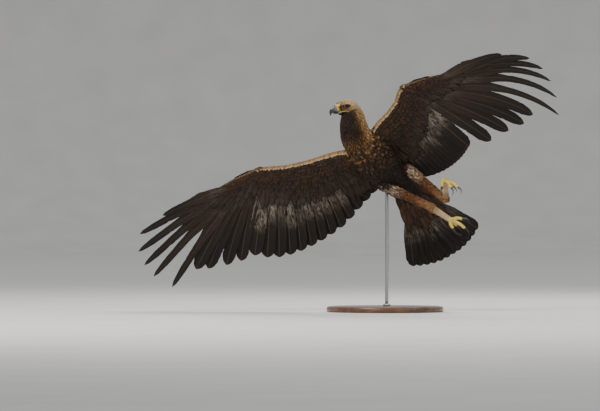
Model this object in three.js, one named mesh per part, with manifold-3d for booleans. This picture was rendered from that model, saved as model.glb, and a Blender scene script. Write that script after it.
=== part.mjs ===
// Golden eagle in flight, life size, held on a plain display stand.
// Millimetres, Z up. The belly faces -Y, the bird's right wing points to -X.
// The underside of the round base lies on Z = 0 with the origin at its centre.
import * as THREE from "three";
import { mergeVertices } from "three/addons/utils/BufferGeometryUtils.js";
import Module from "manifold-3d";

const wasm = await Module();
wasm.setup();

// Driving sizes
const gap = 0.3;
const torsoHalfWidth = 90;
const torsoHalfDepth = 80;
const tailLength = 315;
const tailFanDegrees = 54;
const secondaryCount = 13;
const primaryCount = 10;
const tailCount = 12;
const baseRadius = 245;
const baseHeight = 24;
const rodRadius = 7;
const rodX = 8;
const rodY = 42;
const vaneThick = 1.3;
const vaneTilt = 0.105;
const bendStart = 290;
const bendReach = 350;

// Length of each primary from the innermost out to the leading one
const primaryLength = [424, 449, 483, 498, 622, 615, 586, 541, 464, 312];

const V = (x, y, z) => new THREE.Vector3(x, y, z);
const rad = THREE.MathUtils.degToRad;
const mix = THREE.MathUtils.lerp;
const smooth = (t) => THREE.MathUtils.smoothstep(t, 0, 1);

// A frame turns local x, y, z into the stand's own directions
function frame(origin, xAxis, zHint) {
  const x = xAxis.clone().normalize();
  const y = zHint.clone().cross(x).normalize();
  const z = x.clone().cross(y);
  return (a, b, c) =>
    origin.clone().addScaledVector(x, a).addScaledVector(y, b).addScaledVector(z, c);
}

// Value at t along a list of evenly spaced keys
function along(keys, t) {
  const s = THREE.MathUtils.clamp(t, 0, 1) * (keys.length - 1);
  const i = Math.min(Math.floor(s), keys.length - 2);
  return mix(keys[i], keys[i + 1], s - i);
}

// Smoothed value at x among stations, each [x, value, value, ...]
function station(rows, x, column) {
  let i = 0;
  while (i < rows.length - 2 && x > rows[i + 1][0]) i += 1;
  const row = (k) => rows[Math.min(Math.max(k, 0), rows.length - 1)];
  const [a, b, c, d] = [row(i - 1), row(i), row(i + 1), row(i + 2)];
  const width = c[0] - b[0];
  const t = (x - b[0]) / width;
  const slopeB = c[0] === a[0] ? 0 : ((c[column] - a[column]) / (c[0] - a[0])) * width;
  const slopeC = d[0] === b[0] ? 0 : ((d[column] - b[column]) / (d[0] - b[0])) * width;
  const rise = c[column] - b[column];
  return b[column] + t * (slopeB + t * (3 * rise - 2 * slopeB - slopeC + t * (slopeB + slopeC - 2 * rise)));
}

function signedVolume(points, index) {
  let sum = 0;
  for (let i = 0; i < index.length; i += 3) {
    const [a, b, c] = [points[index[i]], points[index[i + 1]], points[index[i + 2]]];
    sum += a.dot(b.clone().cross(c));
  }
  return sum;
}

// Closed body as a manifold, its faces turned outward
function body(points, index) {
  if (signedVolume(points, index) < 0) {
    for (let i = 0; i < index.length; i += 3) [index[i], index[i + 1]] = [index[i + 1], index[i]];
  }
  const geometry = new THREE.BufferGeometry();
  geometry.setAttribute("position", new THREE.Float32BufferAttribute(points.flatMap((p) => p.toArray()), 3));
  geometry.setIndex(index);
  return fromGeometry(geometry);
}

function fromGeometry(geometry) {
  const plain = geometry.clone();
  plain.deleteAttribute("normal");
  plain.deleteAttribute("uv");
  const merged = mergeVertices(plain, 1e-4);
  return new wasm.Manifold(
    new wasm.Mesh({
      numProp: 3,
      vertProperties: new Float32Array(merged.attributes.position.array),
      triVerts: new Uint32Array(merged.index.array),
    }),
  );
}

function toGeometry(manifold) {
  const mesh = manifold.getMesh();
  const geometry = new THREE.BufferGeometry();
  geometry.setAttribute("position", new THREE.BufferAttribute(mesh.vertProperties, 3));
  geometry.setIndex(new THREE.BufferAttribute(mesh.triVerts, 1));
  const flat = geometry.toNonIndexed();
  flat.computeVertexNormals();
  return flat;
}

// Skin stretched over rings with equal point counts, closed at both ends
function loft(rings) {
  const count = rings[0].length;
  const points = rings.flat();
  const index = [];
  for (let r = 0; r < rings.length - 1; r += 1) {
    for (let j = 0; j < count; j += 1) {
      const k = (j + 1) % count;
      const [a, b] = [r * count + j, r * count + k];
      index.push(a, b, b + count, a, b + count, a + count);
    }
  }
  const cap = (ring, start, flip) => {
    const centre = ring.reduce((sum, p) => sum.add(p), V(0, 0, 0)).divideScalar(count);
    points.push(centre);
    for (let j = 0; j < count; j += 1) {
      const k = (j + 1) % count;
      const pair = flip ? [start + k, start + j] : [start + j, start + k];
      index.push(points.length - 1, ...pair);
    }
  };
  cap(rings[0], 0, true);
  cap(rings[rings.length - 1], (rings.length - 1) * count, false);
  return body(points, index);
}

function oval(place, x, y, z, halfY, halfZ, count, square = 1) {
  const ring = [];
  for (let j = 0; j < count; j += 1) {
    const a = (j / count) * Math.PI * 2;
    const [c, s] = [Math.cos(a), Math.sin(a)];
    const soft = (v) => Math.sign(v) * Math.abs(v) ** square;
    ring.push(place(x, y + halfY * soft(c), z + halfZ * soft(s)));
  }
  return ring;
}

// Round limb through points, each with its own radius
function limb(points, radii, count, steps, flatten = 1) {
  const curve = new THREE.CatmullRomCurve3(points, false, "centripetal");
  const rings = [];
  for (let i = 0; i <= steps; i += 1) {
    const t = i / steps;
    const place = frame(curve.getPoint(t), curve.getTangent(t), V(0.13, -0.96, 0.25));
    const r = along(radii, t);
    rings.push(oval(place, 0, 0, 0, r, r * flatten, count));
  }
  return loft(rings);
}

function unite(list) {
  return list.reduce((sum, m) => sum.add(m));
}

// Largest closed surface of a cut body
function largest(manifold) {
  const pieces = manifold.decompose();
  return pieces.reduce((best, m) => (m.volume() > best.volume() ? m : best));
}

const model = new THREE.Group();

function node(name, manifold, color, roughness = 0.8) {
  const material = new THREE.MeshStandardMaterial({ color, roughness });
  const mesh = new THREE.Mesh(toGeometry(largest(manifold)), material);
  mesh.name = name;
  model.add(mesh);
}

// Trunk, seen from below: forward up and to the left, nose toward the viewer
const forward = V(-0.63, -0.436, 0.643).normalize();
const leftward = V(0.776, -0.32, 0.543).normalize();
const dorsal = forward.clone().cross(leftward).normalize();
const trunkCentre = V(-19, 0, 626);
const trunk = frame(trunkCentre, forward, dorsal);

// Stations along the trunk: distance forward, half width, half depth, lift of the centre
const trunkRows = [
  [-228, 0.26, 0.2, 0.0],
  [-205, 0.46, 0.36, 0.0],
  [-160, 0.7, 0.62, 0.0],
  [-100, 0.87, 0.82, -0.04],
  [-20, 1.0, 0.98, -0.08],
  [60, 1.0, 1.0, -0.1],
  [115, 0.92, 0.93, -0.06],
  [155, 0.76, 0.8, 0.0],
  [184, 0.54, 0.58, 0.02],
  [202, 0.3, 0.34, 0.04],
];

function makeTorso(grow) {
  const rings = [];
  const steps = 15;
  const [first, last] = [trunkRows[0][0] - grow, trunkRows[trunkRows.length - 1][0] + grow];
  for (let i = 0; i <= steps; i += 1) {
    const x = mix(first, last, i / steps);
    const w = torsoHalfWidth * station(trunkRows, x, 1) + grow;
    const h = torsoHalfDepth * station(trunkRows, x, 2) + grow;
    rings.push(oval(trunk, x, 0, torsoHalfDepth * station(trunkRows, x, 3), w, h, 20, 0.92));
  }
  return loft(rings);
}

// Head: x toward the bill tip, y to its left, z to the crown
const headCentre = V(-176, -140, 856);
const headForward = V(-0.92, -0.33, -0.2);
const headPlace = frame(headCentre, headForward, V(-0.2, -0.25, 0.95));
const faceX = 17;
const mouthZ = -13;

const skullRows = [
  [-55, 17, 17, -7],
  [-48, 26, 25, -5],
  [-34, 32, 30, -2],
  [-16, 34.5, 31, 0],
  [0, 33, 30, 0.5],
  [9, 28, 27, 0],
  [faceX, 19, 22, -2],
];

function makeSkull(grow) {
  const rings = [];
  const steps = 9;
  for (let i = 0; i <= steps; i += 1) {
    const x = mix(skullRows[0][0] - grow, faceX, i / steps);
    const w = station(skullRows, x, 1) + grow;
    const h = station(skullRows, x, 2) + grow;
    rings.push(oval(headPlace, x, 0, station(skullRows, x, 3), w, h, 18, 0.95));
  }
  return loft(rings);
}

const eyeRadius = 9.5;
const eyePlace = [7, 21.5, 9];

function ball(place, x, y, z, radius, across, round) {
  const rings = [];
  for (let i = 1; i < round; i += 1) {
    const a = (i / round) * Math.PI;
    const r = radius * Math.sin(a);
    rings.push(oval(place, x - radius * Math.cos(a), y, z, r, r, across));
  }
  return loft(rings);
}

// Ridge of the brow, from behind the eye to the root of the bill
function brow(side) {
  const points = [V(-8, 27.5, 17.5), V(3, 28.5, 19.5), V(12, 25.5, 18), V(19, 16, 13)];
  const path = points.map((p) => headPlace(p.x, p.y * side, p.z));
  return limb(path, [2.5, 4.2, 4, 2.5], 8, 6);
}

// Lid as a low ring about the eye
function lid(side) {
  const rings = [];
  const count = 12;
  const lidRadius = eyeRadius * 0.86;
  for (let i = 0; i < count; i += 1) {
    const a = (i / count) * Math.PI * 2;
    const ring = [];
    for (let j = 0; j < 5; j += 1) {
      const b = (j / 5) * Math.PI * 2;
      const r = lidRadius + 1.7 * Math.cos(b);
      const out = eyePlace[1] + 5 + 2 * Math.sin(b);
      ring.push(headPlace(eyePlace[0] + r * Math.cos(a), out * side, eyePlace[2] + r * Math.sin(a)));
    }
    rings.push(ring);
  }
  const points = rings.flat();
  const index = [];
  for (let i = 0; i < count; i += 1) {
    for (let j = 0; j < 5; j += 1) {
      const [a, b] = [i * 5 + j, i * 5 + ((j + 1) % 5)];
      const [c, d] = [((i + 1) % count) * 5 + j, ((i + 1) % count) * 5 + ((j + 1) % 5)];
      index.push(a, b, d, a, d, c);
    }
  }
  return body(points, index);
}

// Soft corner of the mouth under the eye
function gape(side) {
  const points = [V(-9, 31, mouthZ - 2), V(3, 29.5, mouthZ), V(faceX - 0.2, 19.5, mouthZ + 0.5)];
  return limb(points.map((p) => headPlace(p.x, p.y * side, p.z)), [1.6, 2.6, 2.6], 6, 4);
}

function block(place, x0, x1, y0, y1, z0, z1) {
  const ring = (x) => [place(x, y0, z0), place(x, y1, z0), place(x, y1, z1), place(x, y0, z1)];
  return loft([ring(x0), ring(x1)]);
}

// Upper bill: the cere, then the hook. Rows: x, z, half width, half depth, pitch down
const billRows = [
  [0, faceX + gap, 3.5, 13, 15.5, 0],
  [0.25, 29, 3.2, 11.5, 15, 4],
  [0.5, 42, 1.2, 9, 13, 16],
  [0.7, 53, -3, 6.5, 9.5, 38],
  [0.86, 60, -10.5, 4, 6.5, 64],
  [1, 61.5, -21, 1, 1.6, 86],
];
const cereEnd = 0.27;

function makeBill(from, to) {
  const rings = [];
  const steps = Math.max(3, Math.round((to - from) * 12));
  for (let i = 0; i <= steps; i += 1) {
    const t = mix(from, to, i / steps);
    const pitch = rad(station(billRows, t, 5));
    const [x, z] = [station(billRows, t, 1), station(billRows, t, 2)];
    const place = (a, b, c) => headPlace(x + c * Math.sin(pitch), b, z + c * Math.cos(pitch));
    rings.push(oval(place, 0, 0, 0, station(billRows, t, 3), station(billRows, t, 4), 12, 0.9));
  }
  return loft(rings);
}

function makeHead() {
  let head = makeSkull(0);
  for (const side of [1, -1]) {
    const [x, y, z] = eyePlace;
    head = unite([head, brow(side), lid(side), gape(side)]);
    head = head.subtract(ball(headPlace, x, y * side, z, eyeRadius + gap, 12, 8));
  }
  const slit = block(headPlace, -4, faceX + 2, -40, 40, mouthZ - 0.5, mouthZ + 0.3);
  return head.subtract(slit).subtract(block(headPlace, faceX, faceX + 9, -40, 40, -40, 40));
}

function makeCere() {
  let cere = makeBill(0, cereEnd);
  for (const side of [1, -1]) {
    cere = cere.subtract(ball(headPlace, faceX + 8, 12.6 * side, 5, 2.6, 6, 5));
  }
  const jawRoom = block(headPlace, 0, 60, -20, 20, -40, mouthZ - 0.2);
  return cere.subtract(jawRoom);
}

function makeUpperBill() {
  const whole = makeBill(cereEnd, 1);
  const behind = block(headPlace, 0, 30.6, -20, 20, -30, 30);
  const jawRoom = block(headPlace, 20, 51, -20, 20, -40, mouthZ - 0.2);
  return whole.subtract(makeCere().add(behind)).subtract(jawRoom);
}

function makeLowerBill() {
  const rows = [
    [faceX + gap, -18.5, 11, 5],
    [32, -18.3, 9, 4.6],
    [44, -17.2, 6, 3.6],
    [50, -16.4, 3, 2.2],
  ];
  const rings = rows.map(([x, z, w, h]) => oval(headPlace, x, 0, z, w, h, 12, 0.8));
  return loft(rings).subtract(block(headPlace, 0, 70, -20, 20, mouthZ - 0.5, 30));
}

// Neck from inside the trunk to under the back of the skull
function makeNeck(grow) {
  const [low, high] = [V(-133, -97, 778), V(-140, -118, 822)];
  const path = [trunk(105, 0, -4), trunk(158, 0, -2), low, high, headPlace(-20, 0, -6)];
  const radii = [76, 71, 67, 63, 58, 52, 45, 38].map((r) => r + grow);
  return limb(path, radii, 18, 9, 0.94);
}

// Wing plane: x from the wrist outward, y back to the trailing edge, z to the upper side
function wingFrame(shoulder, wrist, normal) {
  const out = wrist.clone().sub(shoulder).normalize();
  const back = normal.clone().cross(out).normalize();
  if (back.z > 0) back.negate();
  return (x, y, z) =>
    wrist.clone().addScaledVector(out, x).addScaledVector(back, y).addScaledVector(normal, z);
}

// The same plane with the fingertips bent off it and drawn in, as on an arc
function bentWing(flat, wing) {
  const turn = rad(wing.handAngle + 10);
  const [c, s] = [Math.cos(turn), Math.sin(turn)];
  const steep = wing.tipRise / bendReach ** 2;
  return (x, y, z) => {
    const far = Math.max(0, x * c + y * s - bendStart);
    const inward = (2 / 3) * steep ** 2 * far ** 3;
    return flat(x - c * inward, y - s * inward, z + steep * far ** 2);
  };
}

// One feather: flat section, root at (x, y), running at an angle in the wing plane
function vane(place, feather) {
  const { x, y, angle, length, widths, stops, lift = 0, rises } = feather;
  const { tilt = vaneTilt, bow = 0, thick = vaneThick } = feather;
  const [c, s] = [Math.cos(rad(angle)), Math.sin(rad(angle))];
  const points = [];
  stops.forEach((t, i) => {
    const side = bow * Math.sin(Math.PI * t);
    const h = (thick * mix(1, 0.55, t)) / 2;
    const base = lift + (rises ? rises[i] : 0);
    for (const [edge, level] of [[1, h], [-1, h], [1, -h], [-1, -h]]) {
      const off = (edge * widths[i]) / 2;
      const px = x + c * t * length - s * (off + side);
      const py = y + s * t * length + c * (off + side);
      points.push(place(px, py, base - off * tilt + level));
    }
  });
  const index = [];
  for (let i = 0; i < stops.length - 1; i += 1) {
    const [a, b] = [i * 4, i * 4 + 4];
    index.push(a, a + 1, b + 1, a, b + 1, b);
    index.push(a + 2, b + 3, a + 3, a + 2, b + 2, b + 3);
    index.push(a, b, b + 2, a, b + 2, a + 2);
    index.push(a + 1, a + 3, b + 3, a + 1, b + 3, b + 1);
  }
  const end = stops.length * 4 - 4;
  index.push(0, 2, 3, 0, 3, 1, end, end + 1, end + 3, end, end + 3, end + 2);
  return body(points, index);
}

// Width in mm along each kind of feather, at the stops from root to tip
const fingerStops = [0, 0.14, 0.42, 0.56, 0.85, 0.96, 1];
const fingerWidths = [12, 34, 50, 33, 27, 17, 5];
const broadStops = [0, 0.2, 0.6, 0.9, 0.97, 1];
const broadWidths = [12, 44, 62, 56, 38, 14];
const armWidths = [12, 46, 70, 66, 44, 16];
const tailStops = [0, 0.25, 0.55, 0.9, 0.97, 1];
const tailWidths = [10, 24, 54, 56, 40, 14];
const covertStops = [0, 0.35, 0.85, 1];
const covertWidths = [8, 30, 38, 14];
const handCovertWidths = [6, 22, 33, 13];
const covertRises = [3.5, 7.5, 8.5, 8.5];

const sides = {
  right: {
    shoulder: V(-165, -53, 680),
    wrist: V(-517, -1, 592),
    normal: V(0.02, 0.894, 0.447),
    handAngle: 10,
    primaryAngle: [62.8, 57.2, 50.4, 46.4, 42.9, 35.2, 29.6, 23.4, 15.9, 10.4],
    secondaryTip: [141, 374, -444, 215],
    trailing: [0, 24, 37, 40, 38, 33, 28, 23, 18, 8, -2, -4, 0],
    tipRise: 35,
  },
  left: {
    shoulder: V(-59, -83, 760),
    wrist: V(71, -223, 928),
    normal: V(0.123, 0.807, 0.577),
    handAngle: 33,
    primaryAngle: [92, 82, 74, 66.5, 58, 49, 41.8, 36.6, 31.8, 26.6],
    secondaryTip: [-83, 376, -325, 305],
    trailing: [0, 2, 4, 5, 5, 4, 4, 3, 3, 2, 2, 1, 0],
    tipRise: -120,
  },
};

function primaryRow(wing) {
  const row = [];
  const handLength = 146;
  for (let i = 0; i < primaryCount; i += 1) {
    const out = 12 + (handLength * i) / (primaryCount - 1);
    row.push({
      x: out * Math.cos(rad(wing.handAngle)),
      y: 6 + out * Math.sin(rad(wing.handAngle)),
      angle: wing.primaryAngle[i],
      length: primaryLength[i],
      lift: 4.5 - i - (i > 3 ? 1.3 : 0),
    });
  }
  return row;
}

function secondaryRow(wing) {
  const armLength = wing.wrist.distanceTo(wing.shoulder);
  const [x0, y0, x1, y1] = wing.secondaryTip;
  const row = [];
  for (let i = 0; i < secondaryCount; i += 1) {
    const t = i / (secondaryCount - 1);
    const [x, y] = [mix(-8, 34 - armLength, t), 18 + 80 * smooth(t * 1.6)];
    const [tx, ty] = [mix(x0, x1, t), mix(y0, y1, t * t * t) + wing.trailing[i]];
    const angle = THREE.MathUtils.radToDeg(Math.atan2(ty - y, tx - x));
    row.push({ x, y, angle, length: Math.hypot(tx - x, ty - y) });
  }
  return row;
}

// Fleshed part of a wing with its short coverts: an airfoil along stations of
// x, leading edge y, rear edge y, thickness
const foilStops = [0.05, 0.2, 0.45, 0.75, 1];
const foilThick = [0.5, 0.85, 1, 0.72, 0.34];

function foil(place, rows) {
  const rings = rows.map(([x, lead, rear, thick]) => {
    const chord = (t) => mix(lead, rear, t);
    const top = foilStops.map((t, i) => place(x, chord(t), (thick * foilThick[i]) / 2));
    const bottom = foilStops.map((t, i) => place(x, chord(t), (-thick * foilThick[i]) / 2));
    return [place(x, lead, 0), ...top, ...bottom.reverse()];
  });
  return loft(rings);
}

function armBody(place, wing) {
  const arm = wing.wrist.distanceTo(wing.shoulder);
  return foil(place, [
    [-arm - 25, 0, 110, 60],
    [-arm * 0.82, -4, 150, 52],
    [-arm * 0.55, 4, 180, 42],
    [-arm * 0.28, 2, 160, 34],
    [-20, -14, 110, 28],
    [14, -15, 90, 24],
  ]);
}

function handBody(place, wing) {
  const turn = rad(wing.handAngle);
  const [c, s] = [Math.cos(turn), Math.sin(turn)];
  const turned = (x, y, z) => place(x * c - y * s, x * s + y * c, z);
  return foil(turned, [
    [-32, -5, 72, 22],
    [0, -22, 76, 25],
    [60, -19, 66, 20],
    [120, -14, 60, 17],
    [165, -9, 46, 13],
    [190, -3, 26, 8],
  ]);
}

// Half of space on one side of the line between the hand and the arm
function handSide(place, wing, row, shift) {
  const middle = rad((wing.primaryAngle[0] + row[0].angle) / 2);
  const [c, s] = [Math.cos(middle), Math.sin(middle)];
  const turned = (x, y, z) => place(x * c - y * s, x * s + y * c, z);
  return block(turned, -300, 900, -900, -shift, -300, 300);
}

function alula(place, wing) {
  const widths = [20, 34, 30, 8];
  const stops = [0, 0.3, 0.8, 1];
  const angle = wing.handAngle;
  return vane(place, { x: 26, y: -4, angle, length: 160, widths, stops, lift: 9, thick: 4, tilt: 0 });
}

const torso = makeTorso(0);
const torsoRoom = makeTorso(gap);
const neckRoom = makeNeck(gap);

function makeRod(grow) {
  const place = frame(V(rodX, rodY, baseHeight + gap), V(0, 0, 1), V(1, 0, 0));
  const r = rodRadius + grow;
  return loft([oval(place, 0, 0, 0, r, r, 20), oval(place, 550, 0, 0, r, r, 20)]);
}

// Flight feathers: the outer five primaries narrow into fingers
function flightVanes(place, row, isHand) {
  return row.map((feather, i) => {
    const finger = isHand && i >= 4;
    const stops = finger ? fingerStops : broadStops;
    const broad = isHand ? broadWidths : armWidths;
    const widths = finger ? fingerWidths : broad;
    return vane(place, { ...feather, stops, widths, bow: isHand ? -0.02 * feather.length : 0 });
  });
}

// Coverts over the roots of the flight feathers, one row on each face
function covertVanes(place, row, share, sunk, widths) {
  const vanes = [];
  for (const face of [1, -1]) {
    for (const feather of row) {
      const [c, s] = [Math.cos(rad(feather.angle)), Math.sin(rad(feather.angle))];
      const [x, y] = [feather.x + c * sunk, feather.y + s * sunk];
      const rises = covertRises.map((rise) => face * rise);
      const length = Math.max(feather.length * share, 90);
      vanes.push(vane(place, { ...feather, x, y, rises, length, stops: covertStops, widths }));
    }
  }
  return vanes;
}

function makeWing(name, wing) {
  const normal = wing.normal.clone().normalize();
  const flat = wingFrame(wing.shoulder, wing.wrist, normal);
  const place = bentWing(flat, wing);
  const [primaries, secondaries] = [primaryRow(wing), secondaryRow(wing)];
  const handSpace = handSide(flat, wing, secondaries, gap);
  const armSpace = handSide(flat, wing, secondaries, -gap);
  const hand = unite([
    handBody(place, wing),
    alula(place, wing),
    ...flightVanes(place, primaries, true),
    ...covertVanes(place, primaries.slice(0, 9), 0.3, 12, handCovertWidths),
  ]);
  const arm = unite([
    armBody(place, wing),
    ...flightVanes(place, secondaries, false),
    ...covertVanes(place, secondaries, 0.42, 10, covertWidths),
  ]);
  const rooms = [armSpace, torsoRoom, neckRoom, makeRod(8), thighLimb(legs[name], 0.6)];
  const cut = rooms.reduce((rest, room) => rest.subtract(room), arm);
  node(`wing_${name}_hand`, hand.intersect(handSpace), 0x4a3826);
  node(`wing_${name}_arm`, cut, 0x40301f);
}

// Tail: a fan in its own plane, seen from below
const tailRoot = trunk(-188, 0, 0);
const tailWay = V(0.55, 0.2, -0.81).normalize();
const tailTop = dorsal.clone().addScaledVector(tailWay, -dorsal.dot(tailWay)).normalize();
const tailPlace = frame(tailRoot, tailWay, tailTop);

function tailRow() {
  const row = [];
  for (let i = 0; i < tailCount; i += 1) {
    const t = (i / (tailCount - 1)) * 2 - 1;
    row.push({ x: 20, y: 26 * t, angle: (tailFanDegrees / 2) * t, length: tailLength - 12 * t * t });
  }
  return row;
}

function makeTail() {
  const rings = [
    oval(tailPlace, -25, 0, 0, 44, 26, 14),
    oval(tailPlace, 40, 0, 0, 50, 20, 14),
    oval(tailPlace, 90, 0, 0, 58, 10, 14),
    oval(tailPlace, 112, 0, 0, 54, 5, 14),
  ];
  const vanes = tailRow().map((feather, i) => {
    const middle = (tailCount - 1) / 2;
    const central = Math.abs(i - middle) < 1;
    const tilt = central ? 0 : Math.sign(middle - i) * vaneTilt;
    const lift = central ? 6.2 + 2.4 * (middle - i) : 0;
    return vane(tailPlace, { ...feather, lift, tilt, stops: tailStops, widths: tailWidths });
  });
  return unite([loft(rings), ...vanes]).subtract(torsoRoom);
}

// Legs. Toes run from the foot's base, the claws curl toward the sole
const legs = {
  right: {
    hip: V(-8, 18, 545),
    knee: V(20, -24, 520),
    ankle: V(189, -50, 441),
    foot: V(273, -70, 386),
    toes: [V(0.94, -0.3, 0.14), V(0.86, -0.2, -0.46), V(0.5, 0.75, -0.43), V(0.25, -0.3, -0.92)],
    sole: V(0.62, -0.2, -0.76),
  },
  left: {
    hip: V(80, 20, 600),
    knee: V(114, -30, 584),
    ankle: V(252, -92, 470),
    foot: V(246, -135, 553),
    toes: [V(0.55, -0.6, -0.58), V(0.8, -0.45, -0.4), V(0.72, 0.5, -0.48), V(-0.35, -0.55, -0.76)],
    sole: V(0.2, -0.5, -0.84),
  },
};
const toeLength = [50, 68, 48, 36];
const clawLength = [42, 38, 32, 48];
const toeNames = ["inner", "middle", "outer", "hind"];

function toePath(leg, i) {
  const way = leg.toes[i].clone().normalize();
  const sole = leg.sole.clone().addScaledVector(way, -leg.sole.dot(way)).normalize();
  const at = (t, drop) => leg.foot.clone().addScaledVector(way, t * toeLength[i]).addScaledVector(sole, drop);
  return { path: [at(0, 0), at(0.5, -4), at(1, 2)], way, sole };
}

function makeClaw(leg, i, grow) {
  const { path, way, sole } = toePath(leg, i);
  const turn = rad(80);
  const bend = clawLength[i] / turn;
  const rings = [];
  for (let k = 0; k <= 5; k += 1) {
    const a = (k / 5) * turn;
    const at = path[2].clone().addScaledVector(way, bend * Math.sin(a) + 4.5);
    at.addScaledVector(sole, bend * (1 - Math.cos(a)));
    const heading = way.clone().multiplyScalar(Math.cos(a)).addScaledVector(sole, Math.sin(a));
    const r = mix(4.9, 0.5, k / 5) + grow;
    rings.push(oval(frame(at, heading, sole), 0, 0, 0, r * 0.8, r, 8));
  }
  return loft(rings);
}

function makeFoot(leg) {
  const ends = [leg.foot.clone().lerp(leg.ankle, 0.14), leg.foot.clone().lerp(leg.ankle, -0.12)];
  const parts = [limb(ends, [10, 12], 10, 3)];
  for (let i = 0; i < 4; i += 1) {
    parts.push(limb(toePath(leg, i).path, [7.6, 6.6, 7, 5.9, 5.6], 8, 5));
  }
  let foot = unite(parts);
  for (let i = 0; i < 4; i += 1) foot = foot.subtract(makeClaw(leg, i, gap));
  return foot;
}

function thighLimb(leg, grow) {
  const radii = [34, 35, 29, 23, 18, 15].map((r) => r + grow);
  return limb([leg.hip, leg.knee, leg.ankle], radii, 14, 9);
}

function shankLimb(leg, grow) {
  const start = leg.ankle.clone().lerp(leg.foot, -0.04);
  const end = leg.foot.clone().lerp(leg.ankle, 0.1);
  const middle = start.clone().lerp(end, 0.5);
  return limb([start, middle, end], [16, 15, 13, 12].map((r) => r + grow), 12, 5);
}

function makeLeg(name, leg) {
  const shank = shankLimb(leg, 0).subtract(thighLimb(leg, gap)).subtract(torsoRoom);
  node(`thigh_${name}`, thighLimb(leg, 0).subtract(torsoRoom), 0x6b4a2c);
  node(`shank_${name}`, shank, 0xb79e74);
  node(`foot_${name}`, makeFoot(leg).subtract(shankLimb(leg, gap)), 0xc9a52f, 0.6);
  for (let i = 0; i < 4; i += 1) {
    node(`claw_${name}_${toeNames[i]}`, makeClaw(leg, i, 0), 0x1c1a18, 0.35);
  }
}

function makeBase() {
  const place = frame(V(0, 0, 0), V(0, 0, 1), V(1, 0, 0));
  const edge = 3;
  return loft([
    oval(place, 0, 0, 0, baseRadius, baseRadius, 48),
    oval(place, baseHeight - edge, 0, 0, baseRadius, baseRadius, 48),
    oval(place, baseHeight, 0, 0, baseRadius - edge, baseRadius - edge, 48),
  ]);
}

node("head", makeHead(), 0x8a6a3a);
node("cere", makeCere(), 0xd2ac33, 0.5);
node("bill_upper", makeUpperBill(), 0x3a3d42, 0.35);
node("bill_lower", makeLowerBill(), 0x45484c, 0.35);
for (const [name, side] of [["left", 1], ["right", -1]]) {
  node(`eye_${name}`, ball(headPlace, eyePlace[0], eyePlace[1] * side, eyePlace[2], eyeRadius, 12, 8), 0x5a3a18, 0.2);
}
const faceRoom = makeSkull(gap).add(block(headPlace, -15, 90, -60, 60, -70, 60));
node("neck", makeNeck(0).subtract(torsoRoom).subtract(faceRoom), 0x5c4226);
node("torso", torso, 0x4a3520);
node("tail", makeTail(), 0x54483c);
for (const [name, wing] of Object.entries(sides)) makeWing(name, wing);
for (const [name, leg] of Object.entries(legs)) makeLeg(name, leg);
node("stand_rod", makeRod(0).subtract(torsoRoom), 0x9a9d9f, 0.4);
node("stand_base", makeBase(), 0x6e4a2a, 0.6);

export default model;
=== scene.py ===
import math

import bpy
import numpy as np
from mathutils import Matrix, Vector
from mathutils.bvhtree import BVHTree
from mathutils.kdtree import KDTree

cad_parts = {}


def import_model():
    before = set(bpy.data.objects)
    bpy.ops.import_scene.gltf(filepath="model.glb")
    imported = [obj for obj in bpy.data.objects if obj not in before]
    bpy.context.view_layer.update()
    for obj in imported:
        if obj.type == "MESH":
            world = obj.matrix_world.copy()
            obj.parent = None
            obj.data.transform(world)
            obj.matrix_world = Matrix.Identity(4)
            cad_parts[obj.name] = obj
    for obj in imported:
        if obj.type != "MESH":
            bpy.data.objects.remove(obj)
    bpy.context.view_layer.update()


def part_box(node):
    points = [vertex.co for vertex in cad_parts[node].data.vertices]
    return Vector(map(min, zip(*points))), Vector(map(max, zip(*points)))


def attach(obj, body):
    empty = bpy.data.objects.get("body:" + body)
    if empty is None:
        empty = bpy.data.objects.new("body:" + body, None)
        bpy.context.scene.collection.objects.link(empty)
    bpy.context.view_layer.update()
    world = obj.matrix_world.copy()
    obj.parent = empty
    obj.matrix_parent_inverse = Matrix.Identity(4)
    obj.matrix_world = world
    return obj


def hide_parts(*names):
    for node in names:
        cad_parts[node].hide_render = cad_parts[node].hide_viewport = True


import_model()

rng = np.random.default_rng(41)
MM = 0.001
CAMERA_FAR = 20.0
FRAME_WIDE = 2.52

# Sizes repeated from the solids, in millimetres
FORWARD = (-0.63, -0.436, 0.643)
LEFTWARD = (0.776, -0.32, 0.543)
TRUNK_CENTRE = (-19, 0, 626)
TRUNK_WIDE, TRUNK_DEEP = 90, 80
HEAD_CENTRE = (-176, -140, 856)
HEAD_FORWARD = (-0.92, -0.33, -0.2)
HEAD_UP = (-0.2, -0.25, 0.95)
FACE_X = 17
MOUTH_Z = -13
EYE = (7, 21.5, 9)
EYE_RADIUS = 9.5
TAIL_WAY = (0.55, 0.2, -0.81)
TAIL_LENGTH = 315
TAIL_FAN = 54
TAIL_COUNT = 12
PRIMARY_LENGTH = [424, 449, 483, 498, 622, 615, 586, 541, 464, 312]
SECONDARY_COUNT = 13
TILT = 0.105
BEND_START = 290
BEND_REACH = 350

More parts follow.
